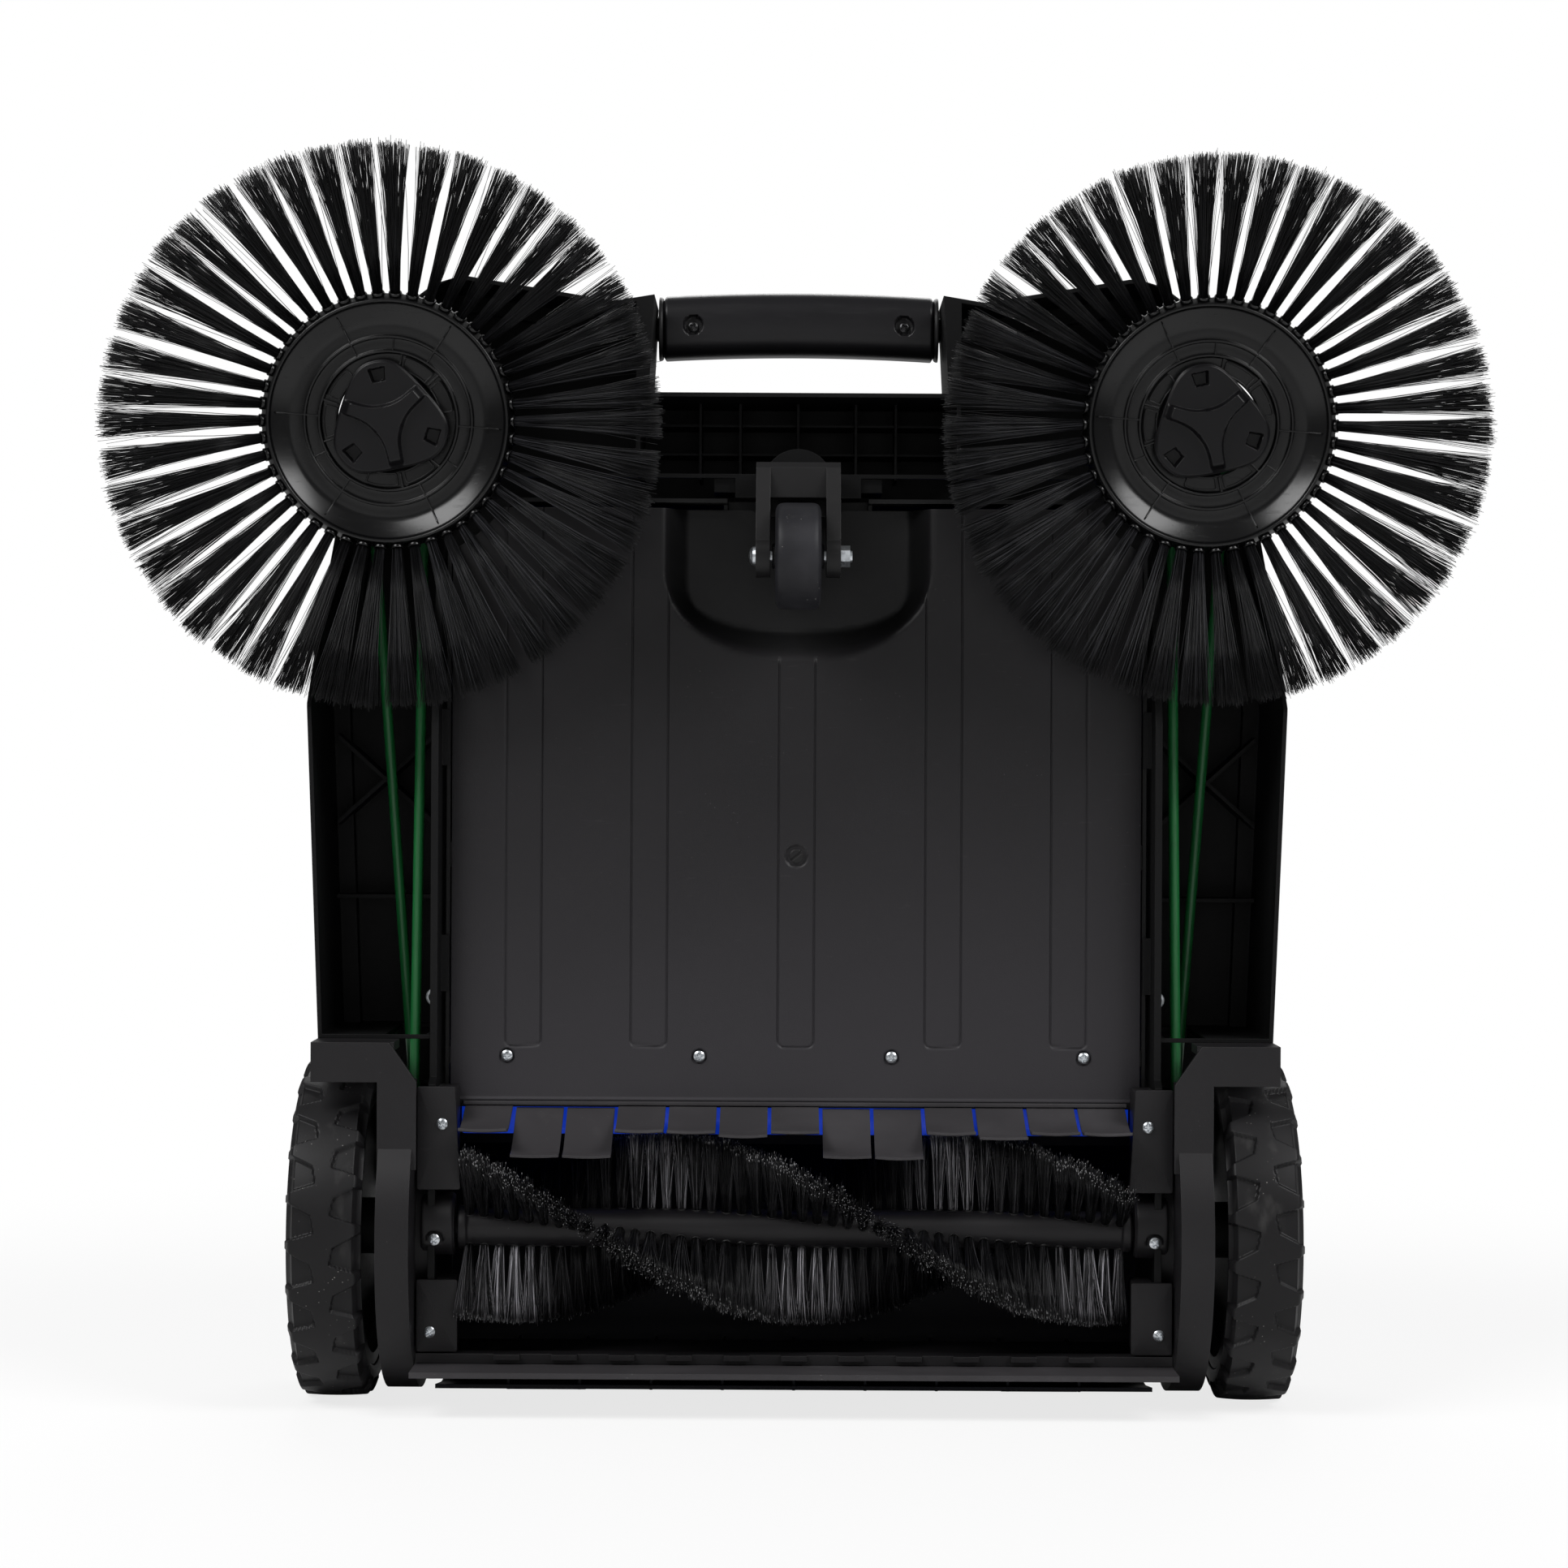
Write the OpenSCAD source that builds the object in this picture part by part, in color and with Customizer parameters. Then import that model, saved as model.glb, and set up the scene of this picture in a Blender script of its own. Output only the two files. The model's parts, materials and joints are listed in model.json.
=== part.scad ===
// Push sweeper with two disc side brushes, a sweeping roller and a lift-out hopper.
// It stands on its rear end: +Z points forward in use, and -Y points at the swept ground.
// Shapes are written as (X, height above the swept ground, Z) and moved by stand().

/* [Wheels] */
// Radius of a road wheel over its tread
wheel_r = 120; // [117:0.5:122]
// Distance from the centre plane to the inner side of a tyre
wheel_x = 298; // [297.5:0.5:302]
// Width of a tyre
tyre_w = 52; // [44:1:60]
// Thickness of a tyre from the rim to the tread
tyre_t = 22; // [16:1:28]
// Depth of the pockets in the tread
tread_depth = 3; // [2:0.5:5]
// Number of tread blocks in each of the two rows
tread_blocks = 22; // [16:1:24]
// Radius of a wheel axle
axle_r = 10; // [8:0.5:12]

/* [Roller] */
// Radius over the bristle tips of the roller
roller_tip_r = 67; // [62:1:68]
// Radius of the roller's core
core_r = 13; // [12:0.5:16]
// Half length of the roller's bristle rows
roller_half = 234; // [215:1:234]
// Distance between tufts along the roller
tuft_pitch = 10.6; // [10.6:0.2:14]
// Length of one turn of a bristle row
helix_pitch = 612; // [560:4:640]
// Number of bristle rows on the roller
roller_rows = 3; // [2:1:3]
// Radius of the roller's journals
journal_r = 8; // [6:0.5:9]
// Teeth of the gear on the left wheel
wheel_teeth = 35; // [34:1:36]
// Teeth of the pinion on the roller
pinion_teeth = 18; // [17:1:19]
// Tooth module of the roller drive
tooth_module = 2; // [1.95:0.05:2.05]

/* [Side brushes] */
// Distance from the centre plane to a side brush's axis
brush_x = 289; // [286:1:292]
// Height of a brush disc's centre above the ground
brush_h = 72; // [70:0.5:74]
// Place of a brush disc's centre along the machine
brush_z = 692; // [690:1:700]
// Tilt of a side brush towards the front
brush_tilt = 7; // [5:0.5:8]
// Radius over the bristle tips of a side brush
brush_tip_r = 196; // [180:1:197]
// Drop of the bristle tips below the disc
brush_drop = 49; // [44:1:52]
// Radius of a brush disc
disc_r = 90; // [84:1:92]
// Number of tufts on a side brush
brush_tufts = 46; // [30:1:48]
// Radius of a brush shaft
shaft_r = 8; // [6:0.5:9]

/* [Belts] */
// Radius of the round belt's section
belt_r = 3.75; // [3:0.25:4]
// Pitch radius of the pulley on a wheel
wheel_pulley_r = 38; // [34:0.5:42]
// Pitch radius of the pulley on a brush shaft
brush_pulley_r = 21.3; // [20:0.1:22]
// Distance from the centre plane to the wheel pulley's groove
pulley_x = 270; // [269.5:0.5:271]

/* [Body] */
// Height of the deck above the ground
deck_h = 204; // [202:1:206]
// Thickness of the moulded walls
wall = 3; // [2.5:0.25:4]
// Distance from the centre plane to the inner side of a frame wall
frame_x = 251; // [250.5:0.25:251.5]
// Thickness of a frame wall
frame_t = 5; // [4:0.5:5.5]
// Half width of the body at the wheels
body_rear_x = 335; // [331:1:338]
// Half width of the body at its widest
body_wide_x = 344; // [340:1:350]
// Front edge of the body beside the carry handle
front_z = 799; // [795:1:806]
// Height of the side walls' lower edge above the ground
skirt_h = 64; // [62:1:80]
// Depth of the ribs under the deck
rib_d = 40; // [20:1:45]

/* [Hopper] */
// Half width of the hopper's floor panel
floor_half = 244; // [236:1:247]
// Height of the floor panel's lower face above the ground
floor_h = 86; // [85:0.5:87]
// Rear edge of the floor panel
floor_rear_z = 214; // [213:1:222]
// Front edge of the hopper
hopper_front_z = 640; // [636:0.5:641]
// Number of rubber flaps behind the floor panel
flap_count = 13; // [7:1:17]
// Thickness of a rubber flap
flap_t = 2; // [1.5:0.25:2.5]
// Height of the flaps' lower edge above the ground
flap_low_h = 22; // [18:1:40]

/* [Castor] */
// Place of the castor's swivel axis along the machine
castor_z = 651; // [651:0.5:655]
// Distance the castor wheel trails behind its swivel
castor_trail = 55; // [48:1:55]
// Radius of the castor wheel
castor_r = 37; // [34:0.5:37.5]
// Width of the castor wheel
castor_w = 32; // [24:1:34]
// Half width over the castor's fork
fork_half = 29.5; // [28.5:0.5:32]

/* [Carry handle] */
// Half length of the carry grip
grip_half = 100; // [90:1:101]
// Depth of the carry grip along the machine
grip_d = 47; // [40:1:48]
// Thickness of the carry grip
grip_t = 38; // [30:1:40]

/* [Push bar] */
// Distance from the centre plane to a push-bar tube's axis
bar_x = 275; // [274.5:0.25:276]
// Radius of a push-bar tube
bar_r = 12.5; // [11:0.25:12.75]
// Wall thickness of a push-bar tube
bar_wall = 1.5; // [1:0.25:2.5]
// Height of the lower bar's axis above the deck
bar_rise = 18; // [17:0.5:22]
// Place of the lower bar's pivot along the machine
pivot_z = 150; // [146:1:154]
// Place of the fold hinge along the machine
hinge_z = 690; // [688:1:720]
// Place of the upper bar's crossbar when folded
crossbar_z = 158; // [150:1:162]
// Bend radius of the upper bar
bend_r = 45; // [40:1:60]
// Radius of the foam grip
foam_r = 16; // [14:0.5:18]
// Half length of the foam grip
foam_half = 160; // [120:5:200]

/* [Fasteners] */
// Radius of a pan screw's head
screw_head_r = 4; // [3:0.25:5]
// Radius of a pan screw's shank
screw_r = 2; // [1.5:0.25:2.5]

/* [Hidden] */
// Clearances
fit_gap = 0.05;        // running fit of a shaft in its bore, on the radius
seat_gap = 0.1;        // between pieces of one body that slide together
move_gap = 0.5;        // between bodies that move past each other
belt_gap = 0.3;        // round a belt in its groove

// Wheels and roller drive
axle_h = wheel_r;
axle_z = wheel_r;
roller_dz = 6;
gear_distance = (wheel_teeth + pinion_teeth) * tooth_module / 2;
roller_h = axle_h - sqrt(pow(gear_distance, 2) - pow(roller_dz, 2));
roller_z = axle_z + roller_dz;
rim_r = wheel_r - tyre_t;
sleeve_r = 20;
tyre_out_x = wheel_x + tyre_w;
gear_w = 10;
gear_x = pulley_x + 11;
pulley_w = 16;

// Body
frame_out_x = frame_x + frame_t;
guard_r = wheel_r - 6;
guard_out_x = wheel_x - 10;
drum_in_x = frame_out_x + 9;
neck_r = 66;
pad_low_h = 47.5;
end_out_x = frame_out_x + 8;
guard_plate_h = 26;
guard_bar_z0 = 230.5;
guard_bar_z1 = 258;
guard_top_h = deck_h - 1;
hood_rear_z = 8;
hood_front_z = 181;
front_beam_z = hopper_front_z + 2;
front_wall_z = front_beam_z + 14;
lintel_z = 717;
lintel_half = 107;
lip_h = 106;
grip_z = front_z - 28;
corner_z = 615;
corner_out_x = body_wide_x - 14;
corner_in_x = corner_out_x - 94;

// Hopper
bin_half = frame_x - 3;
bin_rear_z = hood_front_z + 3;
bin_low_h = floor_h + wall + 0.5;
recess_h = 104;
flap_bar_h = floor_h - 2;
notch_z = hopper_front_z - 34;
notch_top_h = lip_h + 12;
mouth_top_h = 178;

// Push bar: the folded upper bar lies on the lower one
bar_h = deck_h + bar_rise;
bar_stack = 2 * bar_r + 2;
upper_h = bar_h + bar_stack;
hinge_h = bar_h + bar_stack / 2;
hinge_cheek = 3;
total_h = upper_h + foam_r;

// Brush shaft, measured along its axis from the disc
brush_pulley_s = 56;
shaft_top_s = deck_h - 92;

PLASTIC = [0.16, 0.16, 0.165];
RUBBER = [0.1, 0.1, 0.1];
BLUE = [0.02, 0.1, 0.5];
ZINC = [0.75, 0.77, 0.78];
GREEN = [0.06, 0.36, 0.16];
BRISTLE = [0.08, 0.08, 0.09];

// ---------------------------------------------------------------- placing

// Moves a shape from ground heights to the middle of the part's depth
module stand() { translate([0, -total_h / 2, 0]) children(); }

// A shape drawn for the +X side, put on the side that is asked for
module on_side(side) {
    if (side > 0) children();
    else mirror([1, 0, 0]) children();
}

module both_sides() {
    children();
    mirror([1, 0, 0]) children();
}

// Extrudes a plan outline, drawn as (X, Z), between two heights
module plan(h0, h1) {
    translate([0, h1, 0]) rotate([90, 0, 0]) linear_extrude(h1 - h0) children();
}

// Extrudes a side profile, drawn as (height, Z), between two X places
module across(x0, x1) {
    translate([x0, 0, 0]) rotate([90, 0, 90]) linear_extrude(x1 - x0) children();
}

module block(x0, x1, h0, h1, z0, z1) {
    translate([x0, h0, z0]) cube([x1 - x0, h1 - h0, z1 - z0]);
}

module rod_x(x0, x1, h, z, r) {
    translate([x0, h, z]) rotate([0, 90, 0]) cylinder(h = x1 - x0, r = r, $fn = 48);
}

module rod_h(x, z, h0, h1, r, r2 = -1) {
    translate([x, h0, z]) rotate([-90, 0, 0])
        cylinder(h = h1 - h0, r1 = r, r2 = r2 < 0 ? r : r2, $fn = 48);
}

module rod_z(x, h, z0, z1, r) {
    translate([x, h, z0]) cylinder(h = z1 - z0, r = r, $fn = 48);
}

// Turns a profile, drawn as (radius, X), round an axis along X
module turn_x(h, z) {
    translate([0, h, z]) rotate([0, 90, 0]) rotate_extrude($fn = 96) children();
}

// Puts a shape drawn along +Z on a side brush's tilted axis
module on_brush_axis(side) {
    translate([side * brush_x, brush_h, brush_z]) rotate([brush_tilt - 90, 0, 0]) children();
}

// A point given on a brush's axis frame, in machine places
function brush_point(side, p) = [
    side * brush_x + p[0],
    brush_h + p[1] * sin(brush_tilt) + p[2] * cos(brush_tilt),
    brush_z - p[1] * cos(brush_tilt) + p[2] * sin(brush_tilt)
];

// Half width of the body at a place along the machine: nearly straight sides,
// then a quarter of an ellipse round the front corner
function body_x(z) = z < corner_z
    ? lookup(z, [[guard_bar_z1, body_rear_x], [493, body_wide_x], [corner_z, corner_out_x]])
    : corner_in_x + (corner_out_x - corner_in_x)
        * sqrt(max(0, 1 - pow((z - corner_z) / (front_z - corner_z), 2)));

body_stops = concat(
    [guard_bar_z1, 375, 493, 560, corner_z],
    [for (a = [6:6:90]) corner_z + (front_z - corner_z) * sin(a)]
);

// ---------------------------------------------------------------- gears

// A point on an involute that starts on the base circle
function involute(base, roll) = [
    base * (cos(roll) + roll * PI / 180 * sin(roll)),
    base * (sin(roll) - roll * PI / 180 * cos(roll))
];

function turned(p, a) = [p[0] * cos(a) - p[1] * sin(a), p[0] * sin(a) + p[1] * cos(a)];

// Outline of a spur gear with a tooth centred on the first axis
module gear_outline(teeth, bore) {
    pressure = 20;
    backlash = 0.25;
    pitch_r = teeth * tooth_module / 2;
    base = pitch_r * cos(pressure);
    tip = pitch_r + tooth_module;
    root = pitch_r - 1.25 * tooth_module;
    tip_roll = sqrt(pow(tip / base, 2) - 1) * 180 / PI;
    half = 90 / teeth - backlash / 2 / pitch_r * 180 / PI + tan(pressure) * 180 / PI - pressure;
    steps = 4;
    difference() {
        polygon([for (i = [0:teeth - 1]) let (a = i * 360 / teeth) each concat(
            [turned([root, 0], a - half - 0.6)],
            [for (k = [0:steps]) let (p = involute(base, tip_roll * k / steps))
                turned(p, a - half)],
            [for (k = [steps:-1:0]) let (p = involute(base, tip_roll * k / steps))
                turned([p[0], -p[1]], a + half)],
            [turned([root, 0], a + half + 0.6)]
        )]);
        circle(r = bore, $fn = 64);
    }
}

// ---------------------------------------------------------------- chassis

// Side profile of a frame wall, with its lower edge rising over the side brush
module frame_wall_outline() {
    polygon([
        [deck_h - wall - 1, 20], [deck_h - wall - 1, front_beam_z], [lip_h, front_beam_z],
        [lip_h - 2, 620], [80, 560], [skirt_h - 4, 480], [skirt_h - 4, 232],
        [pad_low_h + 3, 227], [pad_low_h + 3, 41], [62, 41], [62, 20]
    ]);
}

// The two long walls of the hopper bay, with the feet that carry the hopper
module centre_frame() stand() color(PLASTIC) {
    both_sides() difference() {
        across(frame_x, frame_out_x) frame_wall_outline();
        rod_x(frame_x - 1, frame_out_x + 1, axle_h, axle_z, axle_r);
        rod_x(frame_x - 1, frame_out_x + 1, roller_h, roller_z, journal_r + 3);
    }
    // Ledges under the hopper's side walls
    both_sides() for (z = [290, 450])
        block(floor_half + 1.5, frame_x, bin_low_h - 3.3, bin_low_h - 0.3, z, z + 40);
    // Bar that carries the flaps
    block(-frame_x, frame_x, flap_bar_h, floor_h + wall, floor_rear_z - 5, floor_rear_z - 0.6);
}

// Plan of one side of the body between two stops, set in from its outline
module body_plan(z0, z1, inner_x, inset) {
    stops = concat([z0], [for (z = body_stops) if (z > z0 && z < z1) z], [z1]);
    polygon(concat([[inner_x, z0]], [for (z = stops) [body_x(z) - inset, z]], [[inner_x, z1]]));
}

// The side profile that trims a skirt so that it clears the brush disc
module skirt_outline(z1) {
    polygon([
        [deck_h + 1, guard_bar_z1 - 1], [deck_h + 1, z1 + 1], [lip_h, z1 + 1],
        [lip_h, 610], [82, 560], [skirt_h, 490], [skirt_h, guard_bar_z1 - 1]
    ]);
}

module side_fairing(side) stand() on_side(side) color(PLASTIC) {
    edge = 12;
    difference() {
        intersection() {
            union() {
                plan(skirt_h, deck_h - edge)
                    body_plan(guard_bar_z1, front_beam_z - 1, frame_out_x, 0);
                plan(deck_h - edge, deck_h - edge / 3)
                    body_plan(guard_bar_z1, front_beam_z - 1, frame_out_x, edge / 3);
                plan(deck_h - edge / 3, deck_h)
                    body_plan(guard_bar_z1, front_beam_z - 1, frame_out_x, edge);
            }
            across(frame_out_x - 1, body_wide_x + 1) skirt_outline(front_beam_z);
        }
        plan(skirt_h - 1, deck_h - edge - wall)
            body_plan(guard_bar_z1 + wall, front_beam_z, frame_out_x - 1, wall);
        plan(deck_h - edge - wall - 0.1, deck_h - wall)
            body_plan(guard_bar_z1 + wall, front_beam_z, frame_out_x - 1, wall + edge);
        // Way through for the belt
        block(frame_out_x + 3, pulley_x + 18, 66, 176, guard_bar_z1 - 1, guard_bar_z1 + wall + 1);
    }
    // Boss for the bay's screw
    difference() {
        rod_h(bay_screw[0], bay_screw[1], bay_screw_h + 1, deck_h - wall, 7);
        rod_h(bay_screw[0], bay_screw[1], bay_screw_h, bay_screw_h + 16, screw_r + seat_gap);
    }
    // Cross rib, kept above the belt
    block(frame_out_x, body_rear_x, deck_h - wall - rib_d + 6, deck_h - wall, 353, 356);
    // Crossed ribs
    for (a = [-1, 1]) difference() {
        translate([(frame_out_x + body_wide_x) / 2, deck_h - wall - rib_d + 6, 440])
            rotate([0, a * 42, 0])
            translate([-90, 0, -1.5]) cube([180, rib_d - 6, 3]);
        block(frame_out_x - 60, frame_out_x, 0, deck_h, 300, 600);
        block(body_rear_x, body_rear_x + 90, 0, deck_h, 300, 600);
    }
}
module side_fairing_left() side_fairing(-1);
module side_fairing_right() side_fairing(1);

// Plan of the front moulding, whose front edge dips towards the carry handle
module front_plan(z0, inner_x, inset) {
    intersection() {
        body_plan(z0, front_z - inset, inner_x, inset);
        polygon([
            [-1, z0 - 1], [body_wide_x + 1, z0 - 1], [body_wide_x + 1, front_z + 1],
            [corner_in_x, front_z - inset], [132, front_z - 17 - inset],
            [grip_half - 4, front_z - 11 - inset], [-1, front_z - 11 - inset]
        ]);
    }
}

// Front moulding: deck, front wall, rib grid and the gap of the carry handle
module front_frame() stand() color(PLASTIC) {
    rib_low = deck_h - wall - rib_d - 6;
    edge = 12;
    difference() {
        both_sides() {
            plan(lip_h, deck_h - edge) front_plan(front_beam_z, 0, 0);
            plan(deck_h - edge, deck_h - edge / 3) front_plan(front_beam_z, 0, edge / 3);
            plan(deck_h - edge / 3, deck_h) front_plan(front_beam_z, 0, edge);
        }
        both_sides() {
            plan(lip_h - 1, deck_h - edge - wall)
                front_plan(front_wall_z + wall, lintel_half + 6 + wall, wall);
            plan(deck_h - edge - wall - 0.1, deck_h - wall)
                front_plan(front_wall_z + wall, lintel_half + 6 + wall, wall + edge);
            // The castor's beam is hollow behind its face
            block(60, frame_x - 20, lip_h + wall, deck_h - wall,
                  front_beam_z + wall, front_wall_z + wall + 1);
            block(45, frame_x - 20, lip_h - 1, lip_h + wall + 1, front_beam_z + wall, front_wall_z);
            block(45, frame_x - 3, lip_h - 1, 150, front_beam_z - 1, front_beam_z + wall + 1);
        }
        // Room over the rib grid
        block(-lintel_half - 6, lintel_half + 6, lip_h - 1, deck_h - wall,
              front_wall_z + wall, lintel_z - wall);
        // The side bays run on into the front corners
        both_sides() block(frame_out_x + wall, corner_out_x - 8, lip_h - 1, deck_h - rib_d,
                           front_beam_z - 1, front_wall_z + wall + 1);
        // Gap of the carry handle
        plan(lip_h - 1, deck_h + 1) polygon([
            [-lintel_half, lintel_z], [lintel_half, lintel_z], [lintel_half - 5, front_z + 9],
            [-lintel_half + 5, front_z + 9]
        ]);
        rod_h(0, castor_z, lip_h - 1, lip_h + 12, 7);
        // Seats of the brush shafts' housings
        both_sides() intersection() {
            on_brush_axis(1) cylinder(h = 150, r = shaft_r + 9 + seat_gap, $fn = 64);
            block(200, 400, lip_h - 1, housing_top_h + seat_gap, 600, 800);
        }
    }
    // Core bar of the carry handle
    both_sides() rod_x(grip_half - 6, lintel_half - 3, deck_h - 26, grip_z, 9);
    // Rib grid
    for (x = [-71, -42, 0, 42, 71])
        block(x - 1, x + 1, rib_low, deck_h - wall, front_wall_z + wall, lintel_z - wall);
    for (z = [678, 699])
        block(-lintel_half - 6, lintel_half + 6, rib_low + 8, deck_h - wall, z - 1, z + 1);
}

// Rounded grip, bowed towards the front
module carry_grip() stand() color(PLASTIC) {
    difference() {
        hull() for (x = [-1, -0.55, 0, 0.55, 1]) translate([
            x * (grip_half - 2) - 1, deck_h - 26, grip_z + 3 * (1 - x * x)
        ]) rotate([0, 90, 0])
            intersection() {
                cylinder(h = 2, r = grip_d / 2, $fn = 32);
                translate([-grip_d / 2, -grip_t / 2, -1]) cube([grip_d, grip_t, 4]);
            }
        both_sides() {
            rod_x(grip_half - 6.5, grip_half + 1, deck_h - 26, grip_z, 9 + seat_gap);
            rod_h(77, grip_z, 0, deck_h - 26 - grip_t / 2 + 5, screw_head_r + 4);
            rod_h(77, grip_z, 0, deck_h - 26, screw_r + seat_gap);
        }
    }
    // End collars
    both_sides() difference() {
        rod_x(grip_half, grip_half + 2, deck_h - 26, grip_z, grip_t / 2 + 1);
        rod_x(grip_half - 1, grip_half + 3, deck_h - 26, grip_z, 9 + seat_gap);
    }
}

// A pan screw whose head rests on a face at ground height h
module pan_screw(x, h, z, length) {
    difference() {
        rod_h(x, z, h - 2.6, h, screw_head_r * 0.72, screw_head_r);
        rod_h(x, z, h - 3, h - 1.4, 1.2);
    }
    rod_h(x, z, h, h + length, screw_r);
}

module grip_screws() stand() color(ZINC) both_sides()
    pan_screw(77, deck_h - 26 - grip_t / 2 + 5, grip_z, 12);

// Hood over the roller, open towards the ground and towards the hopper
module hood_outline(inset) {
    polygon([
        [58, 14 + inset], [104, hood_rear_z + inset],
        [deck_h - 24 - inset / 2, hood_rear_z + inset],
        [deck_h - 16 - inset, hood_rear_z + 6 + inset / 2],
        [deck_h - 14 - inset, hood_rear_z + 16 + inset / 2], [deck_h - 14 - inset, 146 + inset / 2],
        [deck_h - inset, 170 + inset / 2], [deck_h - inset, hood_front_z + (inset > 0 ? 1 : 0)],
        [58 - (inset > 0 ? 1 : 0), hood_front_z + (inset > 0 ? 1 : 0)]
    ]);
}

module rear_hood() stand() color(BLUE) {
    difference() {
        across(-frame_x + seat_gap, frame_x - seat_gap) hood_outline(0);
        across(-frame_x - 1, frame_x + 1) hood_outline(wall);
    }
    // Inner ribs that carry the seal holder
    for (x = [-200:50:200])
        block(x - 1, x + 1, 62, 176, hood_rear_z + 5, 33);
}

// Pads at the roller's ends, drilled for their screws
plate_screws = [[243, 190], [243, 60]];
bay_screw = [264, 281];
bay_screw_h = 170;
module roller_side_plates() stand() color(PLASTIC) both_sides() difference() {
    union() {
        block(236, frame_x, pad_low_h, flap_bar_h - 1, 154, 226);
        block(236, frame_x, pad_low_h, 100, 41, 90);
        block(240, frame_x, flap_bar_h - 1, 150, 41, 183);
        for (z = [[154, 226], [41, 90]])
            block(236, end_out_x, pad_low_h, pad_low_h + 2.7, z[0], z[1]);
    }
    for (p = plate_screws) rod_h(p[0], p[1], 40, 70, screw_r + seat_gap);
    rod_x(230, frame_x + 1, roller_h, roller_z, journal_r + 12);
    rod_x(frame_x - 5, frame_x + 1, axle_h, axle_z, axle_r + 6);
}

cap_r = 22.5;
module roller_bearing_caps() stand() color(PLASTIC) both_sides() difference() {
    union() {
        rod_x(237, frame_x, roller_h, roller_z, journal_r + 11);
        block(237, frame_x, roller_h - 20, roller_h, roller_z - 17, roller_z + 17);
        // Round lower face that runs out under the frame wall
        intersection() {
            rod_x(237, end_out_x - 1, roller_h, roller_z, cap_r);
            block(236, end_out_x, 40, pad_low_h + 2.7, roller_z - cap_r, roller_z + cap_r);
        }
    }
    rod_h(244, roller_z + 12.5, 0, roller_h - 20, screw_head_r + 0.8);
    rod_x(230, frame_x + 1, roller_h, roller_z, journal_r + fit_gap);
    rod_h(244, roller_z + 12.5, 0, roller_h, screw_r + seat_gap);
}

module chassis_screws() stand() color(ZINC) {
    both_sides() {
        for (p = plate_screws) pan_screw(p[0], pad_low_h, p[1], 18);
        pan_screw(244, roller_h - 20, roller_z + 12.5, 9);
    }
    // Screws with washers in the side bays
    both_sides() {
        pan_screw(bay_screw[0], bay_screw_h, bay_screw[1], 12);
        difference() {
            rod_h(bay_screw[0], bay_screw[1], bay_screw_h, bay_screw_h + 1, 6);
            rod_h(bay_screw[0], bay_screw[1], bay_screw_h - 1, bay_screw_h + 2, screw_r);
        }
    }
}

// Guard between a wheel and the chassis: a drum, and an angled plate in front of the belt
module wheel_guard(side) stand() on_side(side) color(PLASTIC) difference() {
    x0 = pulley_x - 8;
    x1 = body_rear_x;
    union() {
        // Drum on a narrower neck, which leaves room for the roller's end plates
        difference() {
            union() {
                rod_x(drum_in_x, guard_out_x, axle_h, axle_z, guard_r);
                rod_x(frame_out_x, drum_in_x + 1, axle_h, axle_z, neck_r);
            }
            rod_x(drum_in_x + wall, guard_out_x + 1, axle_h, axle_z, guard_r - wall);
            rod_x(frame_out_x + wall, drum_in_x + wall + 1, axle_h, axle_z, neck_r - wall);
            block(0, 400, guard_top_h, 400, 0, 400);
        }
        // Top plate, level with the deck, in front of the tyre and inside it
        block(frame_out_x, wheel_x - 1, guard_top_h - wall, guard_top_h, 20, guard_bar_z1 - 1);
        block(wheel_x - 2, x1, guard_top_h - wall, guard_top_h, 214, guard_bar_z1 - 1);
        // Plate in front of the belt, and its step over the tyre
        block(x0, wheel_x - 9, guard_plate_h, guard_plate_h + 4, 170, guard_bar_z1);
        block(x0, x1, guard_plate_h, guard_plate_h + 4, guard_bar_z0, guard_bar_z1);
        // Inner and front walls behind the plate
        block(drum_in_x, drum_in_x + wall, guard_plate_h + 4, 62, 186, guard_bar_z0);
        block(x0 + 16, x1, guard_plate_h + 4, guard_top_h, guard_bar_z1 - 6, guard_bar_z1);
    }
    // Bevelled inner corner
    plan(guard_plate_h - 1, guard_plate_h + 5) polygon([
        [x0 - 1, guard_bar_z1 + 1], [x0 + 19.5, guard_bar_z1 + 1], [x0 - 1, guard_bar_z0 - 1]
    ]);
    // Ways through for the axle, the roller's shaft and the belt
    rod_x(frame_out_x - 1, guard_out_x + 1, axle_h, axle_z, axle_r + seat_gap);
    rod_x(frame_out_x - 1, guard_out_x + 1, roller_h, roller_z, journal_r + 3);
    block(frame_out_x + wall + 1, pulley_x + 17, 66, 174, 165, guard_bar_z1 + 1);
}
module wheel_guard_left() wheel_guard(-1);
module wheel_guard_right() wheel_guard(1);

// Stub axles, each with a head inside the frame and a collar outside
module wheel_axles() stand() color(ZINC) both_sides() {
    rod_x(frame_x - 5, tyre_out_x + 2, axle_h, axle_z, axle_r);
    rod_x(frame_x - 5, frame_x, axle_h, axle_z, axle_r + 5);
    rod_x(frame_out_x + wall, pulley_x - pulley_w / 2 - move_gap, axle_h, axle_z, axle_r + 6);
}

module rear_seal_holder() stand() color(PLASTIC) {
    across(-frame_x + seat_gap, frame_x - seat_gap) polygon([
        [48, 33], [60, 33], [140, 33], [140, 36], [62, 36], [62, 40], [48, 40]
    ]);
    across(-end_out_x, end_out_x) polygon([[48, 33], [60, 33], [60, 40], [48, 40]]);
    // Tabs over the strip
    for (x = [-200:40:200]) block(x - 9, x + 9, 44, 48, 36, 40);
}

module rear_seal_strip() stand() color(RUBBER)
    across(-end_out_x, end_out_x)
        polygon([[61, 28.8], [61, 32.8], [48, 32.8], [6, 33.5], [6, 29.5], [46, 28.8]]);

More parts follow.
